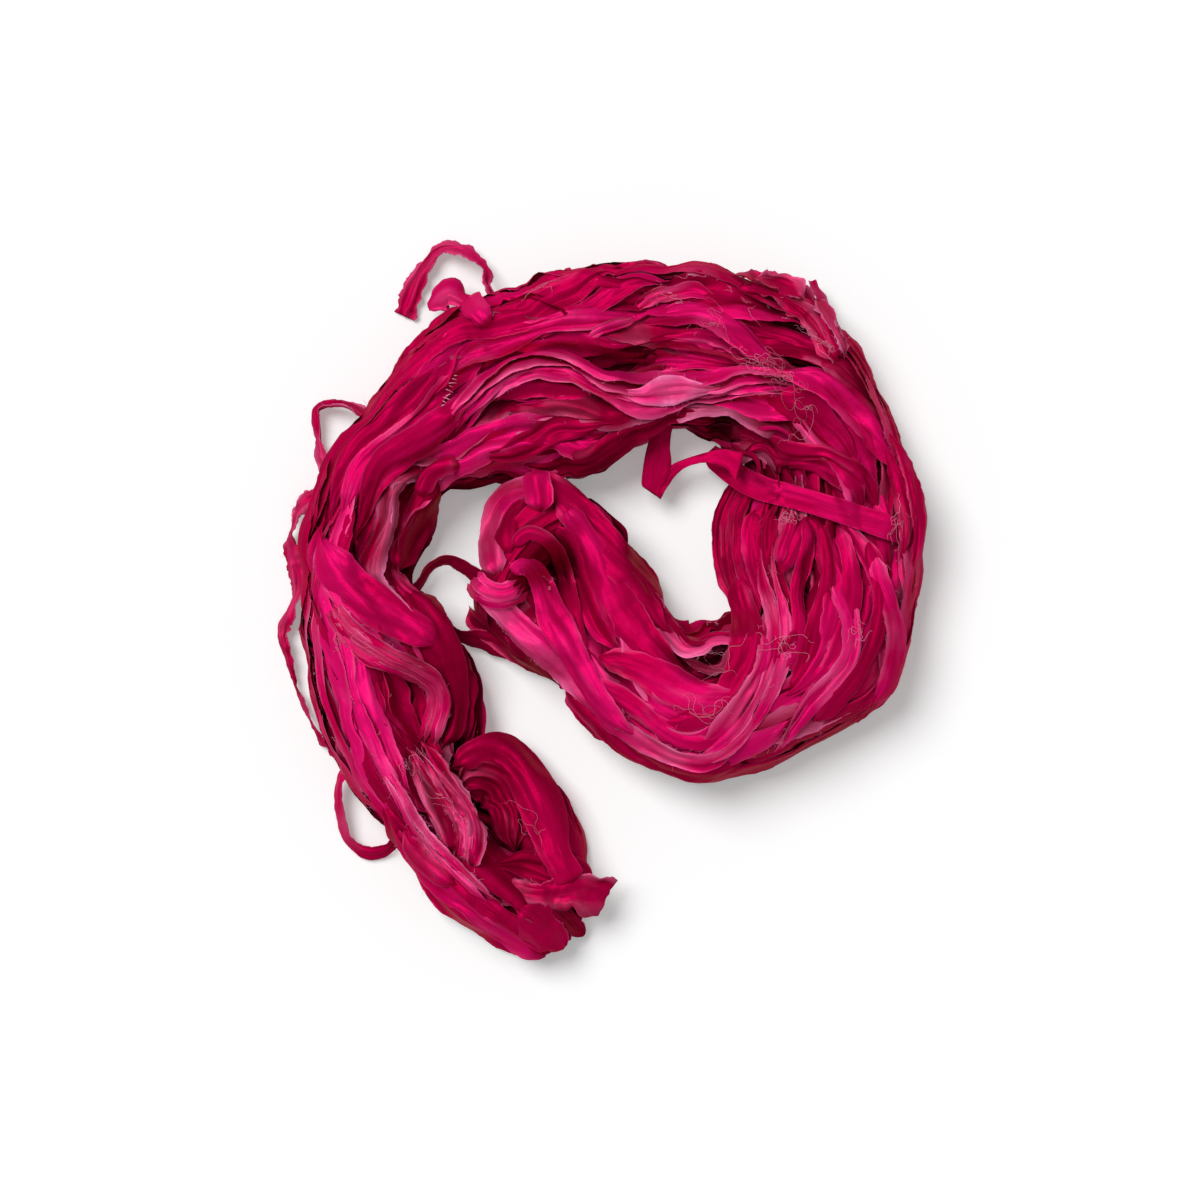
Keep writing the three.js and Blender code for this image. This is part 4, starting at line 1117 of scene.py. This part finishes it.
def sums(nodes, links, operation, *values, clamp=False):
    # A Math node: values are numbers or sockets, and clamp keeps the result from 0 to 1.
    node = nodes.new("ShaderNodeMath")
    node.operation = operation
    node.use_clamp = clamp
    for socket, value in zip(node.inputs, values):
        if isinstance(value, (int, float)):
            socket.default_value = value
        else:
            links.new(value, socket)
    return node.outputs[0]


def noiseOn(nodes, links, vector, scale, detail):
    # Noise whose grain is stretched by giving the ribbon's length and width their own scales.
    mapping = nodes.new("ShaderNodeMapping")
    mapping.inputs["Scale"].default_value = scale
    links.new(vector, mapping.inputs["Vector"])
    noise = nodes.new("ShaderNodeTexNoise")
    noise.inputs["Scale"].default_value = 1
    noise.inputs["Detail"].default_value = detail
    links.new(mapping.outputs[0], noise.inputs["Vector"])
    return noise.outputs["Fac"]


def makeDyeGroup():
    # Colour of dyed silk: a tone between three dyes with streaks and patches, paler where worn, and paler on
    # fold crests and along every edge as painted highlight.
    group, nodes, links, given, out = startGroup("silk_dye")
    for name in ("Tone", "WearAndCrestHighlight", "Edge"):
        addSocket(group, name, "INPUT", "Float")
    for name in ("Deep", "Body", "Bright", "Pale"):
        addSocket(group, name, "INPUT", "Color")
    addSocket(group, "Colour", "OUTPUT", "Color")
    addSocket(group, "WearAndHighlight", "OUTPUT", "Float")
    ribbon, wearAndCrestHighlight, edge = given.outputs["Ribbon"], given.outputs["WearAndCrestHighlight"], given.outputs["Edge"]
    streak = noiseOn(nodes, links, ribbon, grain["streaks"], 2)
    patch = noiseOn(nodes, links, ribbon, grain["patches"], 2)
    fibre = noiseOn(nodes, links, ribbon, grain["fibres"], 2)
    streaked = sums(nodes, links, "MULTIPLY_ADD", streak, *grain["streakTone"])
    patched = sums(nodes, links, "MULTIPLY_ADD", patch, *grain["patchTone"])
    tone = sums(nodes, links, "ADD", given.outputs["Tone"], streaked)
    tone = sums(nodes, links, "ADD", tone, patched, clamp=True)
    lower = sums(nodes, links, "MULTIPLY", tone, 2, clamp=True)
    upper = sums(nodes, links, "MULTIPLY_ADD", tone, 2, -1, clamp=True)
    edgeRub = sums(nodes, links, "POWER", edge, grain["edgePower"])
    edgeRub = sums(nodes, links, "MULTIPLY_ADD", edgeRub, *grain["edgeRub"])
    # Rubbed paleness: real wear, plus the painted crest highlight that the wear value carries.
    rubbedAndCrestHighlight = sums(nodes, links, "MULTIPLY", wearAndCrestHighlight, edgeRub)
    rubbedAndCrestHighlight = sums(nodes, links, "SUBTRACT", rubbedAndCrestHighlight, grain["rubbedFrom"])
    rubbedAndCrestHighlight = sums(nodes, links, "MULTIPLY_ADD", patch, grain["rubbedPatches"], rubbedAndCrestHighlight, clamp=True)
    bare = sums(nodes, links, "ADD", fibre, grain["fibreKeeps"], clamp=True)
    rubbedAndCrestHighlight = sums(nodes, links, "MULTIPLY", rubbedAndCrestHighlight, bare)
    # The rim has pale frayed threads where worn, plus a faint painted highlight on every edge.
    rim = nodes.new("ShaderNodeMapRange")
    rim.inputs["From Min"].default_value, rim.inputs["From Max"].default_value = grain["rim"]
    links.new(sums(nodes, links, "MULTIPLY_ADD", streak, grain["rimStrays"], edge), rim.inputs["Value"])
    frayedRimAndEdgeHighlight = sums(nodes, links, "MULTIPLY_ADD", wearAndCrestHighlight, *grain["frayAndEdgeHighlight"])
    frayedRimAndEdgeHighlight = sums(nodes, links, "MULTIPLY", rim.outputs[0], frayedRimAndEdgeHighlight)
    # Paleness from wear, with the painted crest and edge highlights in it.
    wearAndHighlight = sums(nodes, links, "MAXIMUM", rubbedAndCrestHighlight, frayedRimAndEdgeHighlight, clamp=True)
    colour = given.outputs["Deep"]
    for factor, dye in ((lower, "Body"), (upper, "Bright"), (wearAndHighlight, "Pale")):
        mix = nodes.new("ShaderNodeMix")
        mix.data_type = "RGBA"
        links.new(factor, mix.inputs["Factor"])
        links.new(colour, mix.inputs[6])
        links.new(given.outputs[dye], mix.inputs[7])
        colour = mix.outputs[2]
    links.new(colour, out.inputs["Colour"])
    links.new(wearAndHighlight, out.inputs["WearAndHighlight"])
    return group


def makeCreaseGroup():
    # Height of fine lengthwise creases, small crumples and the weave's crossing threads.
    group, nodes, links, given, out = startGroup("silk_creases")
    addSocket(group, "Height", "OUTPUT", "Float")
    ribbon = given.outputs["Ribbon"]
    lengthwise = noiseOn(nodes, links, ribbon, grain["creases"], 2)
    crumples = noiseOn(nodes, links, ribbon, grain["crumples"], 3)
    weave = nodes.new("ShaderNodeTexWave")
    weave.wave_type = "BANDS"
    weave.bands_direction = "X"
    weave.inputs["Scale"].default_value = grain["weave"]
    weave.inputs["Distortion"].default_value = 1.5
    links.new(ribbon, weave.inputs["Vector"])
    height = sums(nodes, links, "MULTIPLY_ADD", crumples, grain["crumpleDepth"], lengthwise)
    height = sums(nodes, links, "MULTIPLY_ADD", weave.outputs["Fac"], grain["weaveDepth"], height)
    links.new(height, out.inputs["Height"])
    return group


dyeGroup = makeDyeGroup()
creaseGroup = makeCreaseGroup()


def silkMaterial(name, values):
    material, nodes, links, principled = addMaterial(name)
    ribbon = nodes.new("ShaderNodeUVMap")
    ribbon.uv_map = "UVMap"
    dye = nodes.new("ShaderNodeGroup")
    dye.node_tree = dyeGroup
    links.new(ribbon.outputs[0], dye.inputs["Ribbon"])
    for key, socket in (("tone", "Tone"), ("wearAndCrestHighlight", "WearAndCrestHighlight"), ("edge", "Edge")):
        attribute = nodes.new("ShaderNodeAttribute")
        attribute.attribute_name = key
        links.new(attribute.outputs["Fac"], dye.inputs[socket])
    for key, socket in (("deep", "Deep"), ("body", "Body"), ("bright", "Bright"), ("pale", "Pale")):
        dye.inputs[socket].default_value = values[key]
    links.new(dye.outputs["Colour"], principled.inputs["Base Color"])
    wearAndHighlight = dye.outputs["WearAndHighlight"]
    rough = sums(nodes, links, "MULTIPLY_ADD", wearAndHighlight, values["wornRoughness"], values["roughness"])
    links.new(rough, principled.inputs["Roughness"])
    creases = nodes.new("ShaderNodeGroup")
    creases.node_tree = creaseGroup
    links.new(ribbon.outputs[0], creases.inputs["Ribbon"])
    bump = nodes.new("ShaderNodeBump")
    bump.inputs["Distance"].default_value = values["creaseDepth"] * mm
    bump.inputs["Strength"].default_value = values["creaseStrength"]
    links.new(creases.outputs["Height"], bump.inputs["Height"])
    links.new(bump.outputs["Normal"], principled.inputs["Normal"])
    principled.inputs["Metallic"].default_value = values["satin"]
    principled.inputs["Specular IOR Level"].default_value = values["gloss"]
    principled.inputs["Specular Tint"].default_value = values["glossTint"]
    return material


woundSilk = silkMaterial("wound_silk", silk)


def finishTurns(name, strips):
    piece = makeMesh(name, strips)
    piece.data.materials.append(woundSilk)
    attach(piece, "root")
    length = sum(s["length"] for s in strips)
    width = sum(s["area"] for s in strips) / length
    size = f"{length:.1f} m, {width / mm:.1f} mm wide"
    print(name, 2 * len(piece.data.polygons), "triangles,", size)


for name, strips in grids.items():
    finishTurns(name, strips)


packed = {
    "inset": 16,  # how far its ends stay inside the hank's tips
    "rows": 120,
    "columns": 64,
    "widthShare": 0.66,
    "highShare": 0.5,
    "lift": 4,
    "turnLength": 60,  # mm of cloth for each 1 of turn
}


def makePackedTurns(values):
    # The close-packed inside of the hank: its section drawn in to a share of its width and height,
    # as one closed skin with a fan at each end.
    along = np.linspace(values["inset"], hankLength - values["inset"], values["rows"])
    turn = np.linspace(-1, 1, values["columns"])
    placeAlong, placeTurn = np.meshgrid(along, turn, indexing="ij")
    points = hankPoint(placeAlong, placeTurn, pressed=True)
    middle = points.mean(axis=1, keepdims=True)
    points = middle + (points - middle) * values["widthShare"]
    high = points[..., 2] - points[..., 2].min(axis=1, keepdims=True)
    points[..., 2] = values["lift"] + high * values["highShare"]
    count = points.shape[0] * points.shape[1]
    index = np.arange(count).reshape(points.shape[:2])
    wrapped = np.concatenate([index, index[:, :1]], axis=1)
    faces = squares(wrapped)
    ends = np.concatenate([points[:1].mean(axis=1), points[-1:].mean(axis=1)])
    fanStart = np.stack([np.full(len(turn), count), wrapped[0, :-1], wrapped[0, 1:]], -1)
    fanEnd = np.stack([np.full(len(turn), count + 1), wrapped[-1, 1:], wrapped[-1, :-1]], -1)
    mesh = bpy.data.meshes.new("packed_turns")
    places = np.concatenate([points.reshape(-1, 3), ends]) * mm
    mesh.from_pydata(places.tolist(), [], faces.tolist() + fanStart.tolist() + fanEnd.tolist())
    cloth = np.stack([placeAlong, values["turnLength"] * placeTurn], -1).reshape(-1, 2)
    uvs = np.concatenate([cloth, [(0, 0), (0, 0)]]) * mm
    corners = np.zeros(len(mesh.loops), np.int32)
    mesh.loops.foreach_get("vertex_index", corners)
    mesh.uv_layers.new(name="UVMap").data.foreach_set("uv", uvs[corners].astype(np.float32).ravel())
    mesh.shade_smooth()
    mesh.materials.append(woundSilk)
    piece = addObject("packed_turns", mesh)
    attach(piece, "root")
    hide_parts("hank")


makePackedTurns(packed)

underside = {
    "count": 12,
    "reach": 0.7,  # how far out the outermost lie, as a share of half the width
    "flat": 17,
    "columns": 7,
    "step": 4,
    "lift": 0.35,
    "layer": 0.9,  # each third turn starts a new round of three heights, this far apart
    "sway": 0.05,
    "starts": (12, 6),  # distance from the tail's tip, and what each next turn adds
    "stops": (22, 5),
    "tone": 0.3,
    "wearAndCrestHighlight": 0.1,
}


def makeUnderTurns(values):
    # Turns pressed on the table: each follows its own share across the hank and lies in low folds.
    strips = []
    look = dict(plain, flat=values["flat"], columns=values["columns"])
    for k, share in enumerate(np.linspace(-values["reach"], values["reach"], values["count"])):
        start = values["starts"][0] + values["starts"][1] * (k % 3)
        stop = hankLength - values["stops"][0] - values["stops"][1] * (k % 2)
        along = np.arange(start, stop, values["step"])
        middle, half, _ = middleAndHalf(np.interp(along, hankAlong, rowShare))
        inward = (share + values["sway"] * wander(along, 160)) * tipRounding(along)
        centre = middle + half * inward[:, None]
        place, lift, widths = foldSection(along, look)
        spot = centre[:, None, :] - unit(half)[:, None, :] * place[..., None]
        high = values["lift"] + values["layer"] * (k % 3)
        high = high + np.maximum(lift - lift.min(axis=1, keepdims=True), 0)
        ones = np.ones(place.shape)
        length = runningLength(centre)[-1]
        strips.append(
            {
                "points": np.concatenate([spot, high[..., None]], -1) * mm,
                "uv": np.stack([along[:, None] * ones, place], -1) * mm,
                "tone": values["tone"] * ones,
                "wearAndCrestHighlight": values["wearAndCrestHighlight"] * ones,
                "edge": np.abs(np.linspace(-1, 1, values["columns"])) * ones,
                "area": widths.mean() * length * mm**2,
                "length": length * mm,
            }
        )
    finishTurns("under_turns", strips)


makeUnderTurns(underside)

# Loose strips, a row for each bend: x, y, z, width as it hangs folded, and roll,
# where 0 lies flat and 90 stands on its edge.
looseStrips = {
    "curl_end": [
        (-62, 176, 20, 8, 60), (-67, 190, 17, 7, 60), (-69, 200, 14, 8, 55), (-77, 208.5, 11, 9, 40),
        (-87, 213, 9, 9, 35), (-97, 211.5, 7, 11, 30), (-105, 203, 5, 12, 25), (-111, 192, 4, 13, 12),
        (-115, 181, 3, 14, 6), (-119, 172, 1.5, 13, 4),
    ],
    "folded_end": [
        (-62, 166, 27, 14, 10), (-69, 171, 26, 19, 12), (-76, 177, 24, 17, 16), (-83, 181, 21, 12, 30),
        (-89, 184, 18, 19, 22), (-95, 182, 14, 18, 20), (-100, 179, 11, 10, 25), (-104, 177, 8, 3, 25),
    ],
    "left_loop": [
        (-138, 109, 14, 7, 35), (-150, 117, 13, 7, 40), (-160, 118.5, 10, 7, 50), (-170, 116, 7, 8, 60),
        (-171, 107, 5.5, 9, 50), (-169.5, 95, 5, 9, 45), (-167, 83, 6, 9, 45), (-163, 73, 9, 8, 45),
        (-153, 64, 12, 7, 40),
    ],
    "side_strand": [
        (-158, 65, 15, 8, 20), (-170, 63, 14, 11, 25), (-180, 56, 11, 11, 40), (-186, 42, 8, 7, 65),
        (-186, 28, 7, 12, 35), (-183, 12, 7, 12, 30), (-185, -4, 6, 7, 60), (-192, -16, 6, 11, 35),
        (-190, -30, 5, 8, 60), (-184, -50, 5, 5, 60), (-177, -68, 6, 5, 60), (-168, -84, 8, 6, 55),
        (-155, -98, 12, 6, 50),
    ],
    "tail_loop": [
        (-148, -94, 14, 7, 60), (-157, -110, 11, 7, 60), (-157, -128, 8, 8, 50), (-153, -144, 6, 8, 45),
        (-142, -153, 5, 9, 35), (-130, -152, 6, 9, 40), (-121, -142, 9, 8, 55), (-115, -128, 13, 8, 60),
    ],
    # a flat fold, given by its two edges: x, y and z of each
    "fold_strand": [
        (34, 116, 25, 47, 113, 26), (32, 103, 23, 43.5, 102, 24), (29.5, 92, 20, 42, 92, 21),
        (27.5, 80, 18, 42, 79, 19), (25.8, 68.5, 17, 37, 60.5, 17.5), (36, 77, 17, 41.5, 67, 18),
        (44, 82, 19, 46.5, 74.5, 19.5), (52, 85, 21, 53, 79.5, 22), (64, 88.5, 24, 63, 82, 25),
        (75, 89.5, 28, 75, 79.5, 29), (86, 86, 31, 82, 72, 31),
    ],
    "inner_strand": [
        (-34, 90, 13, 6, 60), (-20, 80, 11, 7, 60), (-2, 79, 10, 8, 60), (10, 87, 12, 7, 60),
        (22, 95, 15, 6, 55), (36, 106, 18, 6, 50),
    ],
    "upper_bridge": [
        (-120, 0, 12, 7, 50), (-109, 9, 13, 7, 55), (-102, 19, 15, 7, 60), (-91, 24, 17, 7, 55),
        (-80, 19, 18, 8, 45), (-66, 8, 18, 9, 35),
    ],
    "lower_bridge": [
        (-112, 2, 8, 12, 25), (-97, -12, 8, 12, 30), (-86, -21, 8, 10, 35), (-72, -24, 9, 11, 35),
        (-60, -27, 10, 13, 30), (-44, -32, 11, 13, 30),
    ],
    "tail_frill": [
        (-68, -170, 27, 12, 15), (-57, -173, 30, 14, -5), (-43, -175, 29, 15, -14), (-29, -176, 26, 14, 6),
        (-16, -175, 24, 17, -8), (-7, -176, 22, 26, 4), (0, -178, 19, 31, 10), (5, -180, 17, 27, 14),
    ],
    "frayed_tip": [
        (128, 158, 22, 12, 30), (134, 170, 19, 11, 35), (133, 182, 15, 9, 40), (128, 193, 12, 5, 45),
    ],
}
# Fullness is a strip's flat width over the width that it hangs at, and raise lifts the whole strip.
looseColumns = ("fullness", "fold", "crumple", "tone", "wearAndCrestHighlight", "ragged", "raise")
looseLooks = {
    "curl_end": (1.2, 1.1, 0.9, 0.55, 0.25, 1.8, 0),
    "folded_end": (1.25, 0.9, 1.1, 0.72, 0.2, 0.9, 4),
    "left_loop": (1.5, 1.0, 0.8, 0.55, 0.3, 1.5, 0),
    "side_strand": (1.6, 1.25, 1.2, 0.5, 0.3, 2.5, 0),
    "tail_loop": (1.4, 0.8, 0.35, 0.6, 0.2, 0.5, 0),
    "fold_strand": (1.05, 0.12, 0.05, 0.42, 0.02, 0.1, 0),
    "inner_strand": (1.6, 0.6, 0.25, 0.2, 0.05, 0.4, 0),
    "upper_bridge": (1.4, 0.6, 0.25, 0.35, 0.1, 0.4, 0),
    "lower_bridge": (1.3, 0.5, 0.3, 0.2, 0.1, 0.9, 0),
    "tail_frill": (1.5, 1.2, 1.1, 0.45, 0.22, 2.0, 6),
    "frayed_tip": (1.4, 0.8, 0.6, 0.5, 0.4, 1.2, 0),
}
looseCut = {"step": 1.2, "columns": 14, "thick": 0.35, "lowest": 0.4}


def rolledAbout(route):
    # The side runs level across the route, then is rolled about it; the face is their cross product.
    middle, wide, roll = route[:, :3], route[:, 3], np.radians(route[:, 4])[:, None]
    ahead = unit(np.gradient(middle, axis=0))
    level = unit(np.stack([-ahead[:, 1], ahead[:, 0], np.zeros(len(ahead))], -1))
    side = level * np.cos(roll) + np.cross(ahead, level) * np.sin(roll)
    return middle, side, np.cross(ahead, side), wide


def betweenEdges(route):
    # The side runs from one edge to the other; the face is the upright part of what is square to it.
    reach = route[:, 3:] - route[:, :3]
    side = unit(reach)
    face = unit(np.array([0, 0, 1]) - side * side[:, 2:])
    return (route[:, :3] + route[:, 3:]) / 2, side, face, np.linalg.norm(reach, axis=1)


def makeLooseStrip(name, rows, values):
    # A folded strip carried along its route, its section rolled about the route by the row's angle.
    look = {**plain, **dict(zip(looseColumns, values)), "columns": looseCut["columns"]}
    fine = curveThrough(rows, np.linspace(0, 1, 600))
    fine[:, 2] += look["raise"]
    measured = runningLength((fine[:, :3] + fine[:, 3:]) / 2 if fine.shape[1] == 6 else fine[:, :3])
    distance = np.arange(0, measured[-1], looseCut["step"])
    route = np.stack([np.interp(distance, measured, column) for column in fine.T], -1)
    middle, side, face, wide = betweenEdges(route) if route.shape[1] == 6 else rolledAbout(route)
    look["flat"] = wide.mean() * look["fullness"]
    place, lift, widths = foldSection(distance, look)
    vary = (wide / wide.mean())[:, None]
    place, lift = place * vary, lift * vary + crumple(distance, look)
    place = place + look["ragged"] * np.sign(place) * edgeWaves(distance, look["columns"])
    lift = lift + look["flutter"] * edgeWaves(distance, look["columns"])
    place[:, [0, -1]] += 0.25 * look["ragged"] * rng.uniform(-1, 1, (len(place), 2))
    points = middle[:, None, :] + side[:, None, :] * place[..., None] + face[:, None, :] * lift[..., None]
    points[..., 2] = np.maximum(points[..., 2], looseCut["lowest"])
    keepGrid(name, points, distance, look, lift, widths.sum() * looseCut["step"])
    piece = makeMesh(name + "_ribbon", grids[name])
    piece.data.materials.append(looseSilk)
    solidify = piece.modifiers.new("thickness", "SOLIDIFY")
    solidify.thickness = looseCut["thick"] * mm
    solidify.offset = 0
    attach(piece, "root")
    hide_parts(name)
    print(name, round(float(look["flat"]), 1), "by", round(distance[-1]), "mm")


looseSilk = silkMaterial("loose_silk", silk)
for name, rows in looseStrips.items():
    makeLooseStrip(name, rows, looseLooks[name])


def makeTubes(name, centres, radius, material, paleFrom=0.0):
    # Threads as three-sided tubes: centres is count by points by 3; they thin to a third at each end.
    # The side is square to the thread and to a slanted line that few threads follow.
    count, n = centres.shape[:2]
    ahead = unit(np.gradient(centres, axis=1))
    side = unit(np.cross((0.31, 0.17, 0.93), ahead))
    up = np.cross(ahead, side)
    thin = radius * (1 - 0.66 * np.abs(np.linspace(-1, 1, n)) ** 6)[:, None]
    angles = (0, 2 * math.pi / 3, 4 * math.pi / 3)
    points = np.stack([centres + thin * (math.cos(a) * side + math.sin(a) * up) for a in angles], axis=2)
    index = np.arange(count * n * 3).reshape(count, n, 3)
    after = np.roll(index, -1, axis=2)
    walls = np.stack([index[:, :-1], after[:, :-1], after[:, 1:], index[:, 1:]], -1).reshape(-1, 4)
    mesh = bpy.data.meshes.new(name)
    ends = np.concatenate([index[:, 0, ::-1], index[:, -1]])
    mesh.from_pydata((points.reshape(-1, 3) * mm).tolist(), [], walls.tolist() + ends.tolist())
    paleness = np.repeat(rng.uniform(paleFrom, 1, count), n * 3)
    mesh.attributes.new("paleness", "FLOAT", "POINT").data.foreach_set("value", paleness.astype(np.float32))
    mesh.shade_smooth()
    mesh.materials.append(material)
    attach(addObject(name, mesh), "root")
    print(name, count, "threads,", 2 * len(walls) + len(ends), "triangles")


thread = {
    "dyed": (0.55, 0.01, 0.11, 1),
    "pale": (0.95, 0.4, 0.55, 1),
    "roughness": 0.6,
    "hairs": 1500,
    "hairRadius": 0.07,
    "hairLength": (0.8, 4.2),
    "curlRadius": 0.1,
    # curls: along, across, length, how many
    "curls": [
        (590, 0.15, 42, 8), (575, 0.05, 30, 5), (550, 0.45, 26, 4), (520, 0.62, 20, 4), (152, 0.08, 30, 6),
        (118, -0.05, 26, 3), (615, 0.0, 60, 4), (78, -0.6, 35, 2), (812, -0.5, 45, 4), (675, -0.4, 20, 6),
        (790, -0.96, 15, 4), (600, 0.93, 20, 8), (455, 0.97, 22, 4), (830, 0.15, 50, 4), (425, -0.5, 14, 1),
        (770, -0.3, 36, 6), (740, 0.5, 22, 4), (690, 0.8, 18, 6), (230, 0.6, 20, 4), (955, 0, 14, 2),
        (560, 0.93, 24, 3), (583, 0.97, 16, 4), (535, 0.97, 26, 3),
    ],
    "curlPoints": 44,
    # swings of a curl's heading: least and most strength, fewest and most waves
    "swings": [(0.5, 2.4, 0.8, 2), (0.2, 0.9, 2.5, 5)],
    "curlStretch": (1.3, 0.8),  # along the hank and across it
    "curlScatter": (4.5, 2.5),
    "curlLift": 0.3,
    # seam: along and across at its two ends, number of stitches, length of each
    "seam": (398, 0.42, 383, 0.2, 9, 4.2),
    "stitchRadius": 0.36,
    "turnLength": 62,  # mm round the hank for each 1 of turn
}


def threadMaterial(values):
    material, nodes, links, principled = addMaterial("thread")
    paleness = nodes.new("ShaderNodeAttribute")
    paleness.attribute_name = "paleness"
    mix = nodes.new("ShaderNodeMix")
    mix.data_type = "RGBA"
    links.new(paleness.outputs["Fac"], mix.inputs["Factor"])
    mix.inputs[6].default_value = values["dyed"]
    mix.inputs[7].default_value = values["pale"]
    links.new(mix.outputs[2], principled.inputs["Base Color"])
    principled.inputs["Roughness"].default_value = values["roughness"]
    return material


def layThreads(along, turn, lift):
    # Threads on the highest cloth: rows of along and turn, count by points.
    points = hankPoint(along, turn)
    points[..., 2] = smoothRows(topAt(points[..., 0], points[..., 1]).T, 2).T + lift
    return points


def curlOfThread(values, s, length):
    # The heading swings as a sum of sines, and the place is the running sum of the heading.
    swing = 0
    for weakest, strongest, fewest, most in values["swings"]:
        waves = rng.uniform(weakest, strongest), rng.uniform(fewest, most), rng.uniform(0, 6)
        swing = swing + waves[0] * np.sin(2 * math.pi * waves[1] * s + waves[2])
    heading = rng.uniform(0, 2 * math.pi) + swing
    step = length * rng.uniform(0.4, 1.2) / len(s)
    ways = []
    for turned, stretch, scatter in zip((np.cos, np.sin), values["curlStretch"], values["curlScatter"]):
        way = np.cumsum(turned(heading)) * step
        ways.append(stretch * (way - way.mean()) + rng.normal(0, scatter))
    return ways


def makeCurls(values, material):
    centres = []
    s = np.linspace(0, 1, values["curlPoints"])
    for along0, across0, length, count in values["curls"]:
        for _ in range(count):
            x, y = curlOfThread(values, s, length)
            along = np.clip(along0 + x, 1, hankLength - 1)
            turn = np.clip(turnAt(across0) + y / values["turnLength"], -0.97, 0.97)
            lift = values["curlLift"] + 0.5 * np.sin(9 * s + along0)
            centres.append(layThreads(along[None], turn[None], lift)[0])
    makeTubes("curly_threads", np.stack(centres), values["curlRadius"], material, 0.3)


def makeSeam(values, material):
    # Slanting stitches, evenly spaced between the seam's two ends and a little uneven in length.
    along0, across0, along1, across1, count, length = values["seam"]
    share = np.linspace(0, 1, count)[:, None] + rng.uniform(-0.02, 0.02, (count, 1))
    reach = np.linspace(-0.5, 0.5, 7)[None] * length * rng.uniform(0.4, 1.3, (count, 1))
    slant = rng.uniform(0.2, 1.2, (count, 1))
    along = along0 + (along1 - along0) * share + np.cos(slant) * reach
    turn = turnAt(across0 + (across1 - across0) * share) - np.sin(slant) * reach / values["turnLength"]
    centres = layThreads(along, turn, 1.0 + 0.5 * np.cos(np.linspace(-1.5, 1.5, 7)))
    makeTubes("seam_stitches", centres, values["stitchRadius"], material, 0.9)


def makeHairs(values, material):
    # Frayed threads that leave the edges of worn ribbons: a slanting line plus a bit of a sine.
    spots, outward, ahead, weight = [], [], [], []
    for name, strips in grids.items():
        if name.startswith(("inner", "middle")):
            continue
        for strip in strips:
            points = strip["points"] / mm
            for edge, inner in ((0, 2), (-1, -3)):
                spots.append(points[:, edge])
                outward.append(unit(points[:, edge] - points[:, inner]))
                ahead.append(unit(np.gradient(points[:, edge], axis=0)))
                weight.append(np.maximum(strip["wearAndCrestHighlight"][:, edge], 0) ** 2 + 0.004)
    spots, outward, ahead = (np.concatenate(part) for part in (spots, outward, ahead))
    weight = np.concatenate(weight)
    chosen = rng.choice(len(spots), values["hairs"], replace=False, p=weight / weight.sum())
    s = np.linspace(0, 1, 6)[None, :, None]
    length = rng.uniform(*values["hairLength"], (len(chosen), 1, 1))
    slant = rng.uniform(-1.3, 1.3, (len(chosen), 1, 1))
    bend = rng.uniform(-0.5, 0.5, (len(chosen), 1, 1))
    curl = bend * np.sin(math.pi * s * rng.uniform(0.8, 2, (len(chosen), 1, 1)))
    out, on = outward[chosen][:, None], ahead[chosen][:, None]
    centres = spots[chosen][:, None] + length * (s * np.cos(slant) * out + (s * np.sin(slant) + curl) * on)
    centres[..., 2] = np.maximum(centres[..., 2] + 0.12 * length[..., 0] * s[..., 0], 0.3)
    makeTubes("frayed_hairs", centres, values["hairRadius"], material)


threadLook = threadMaterial(thread)
makeCurls(thread, threadLook)
makeSeam(thread, threadLook)
makeHairs(thread, threadLook)
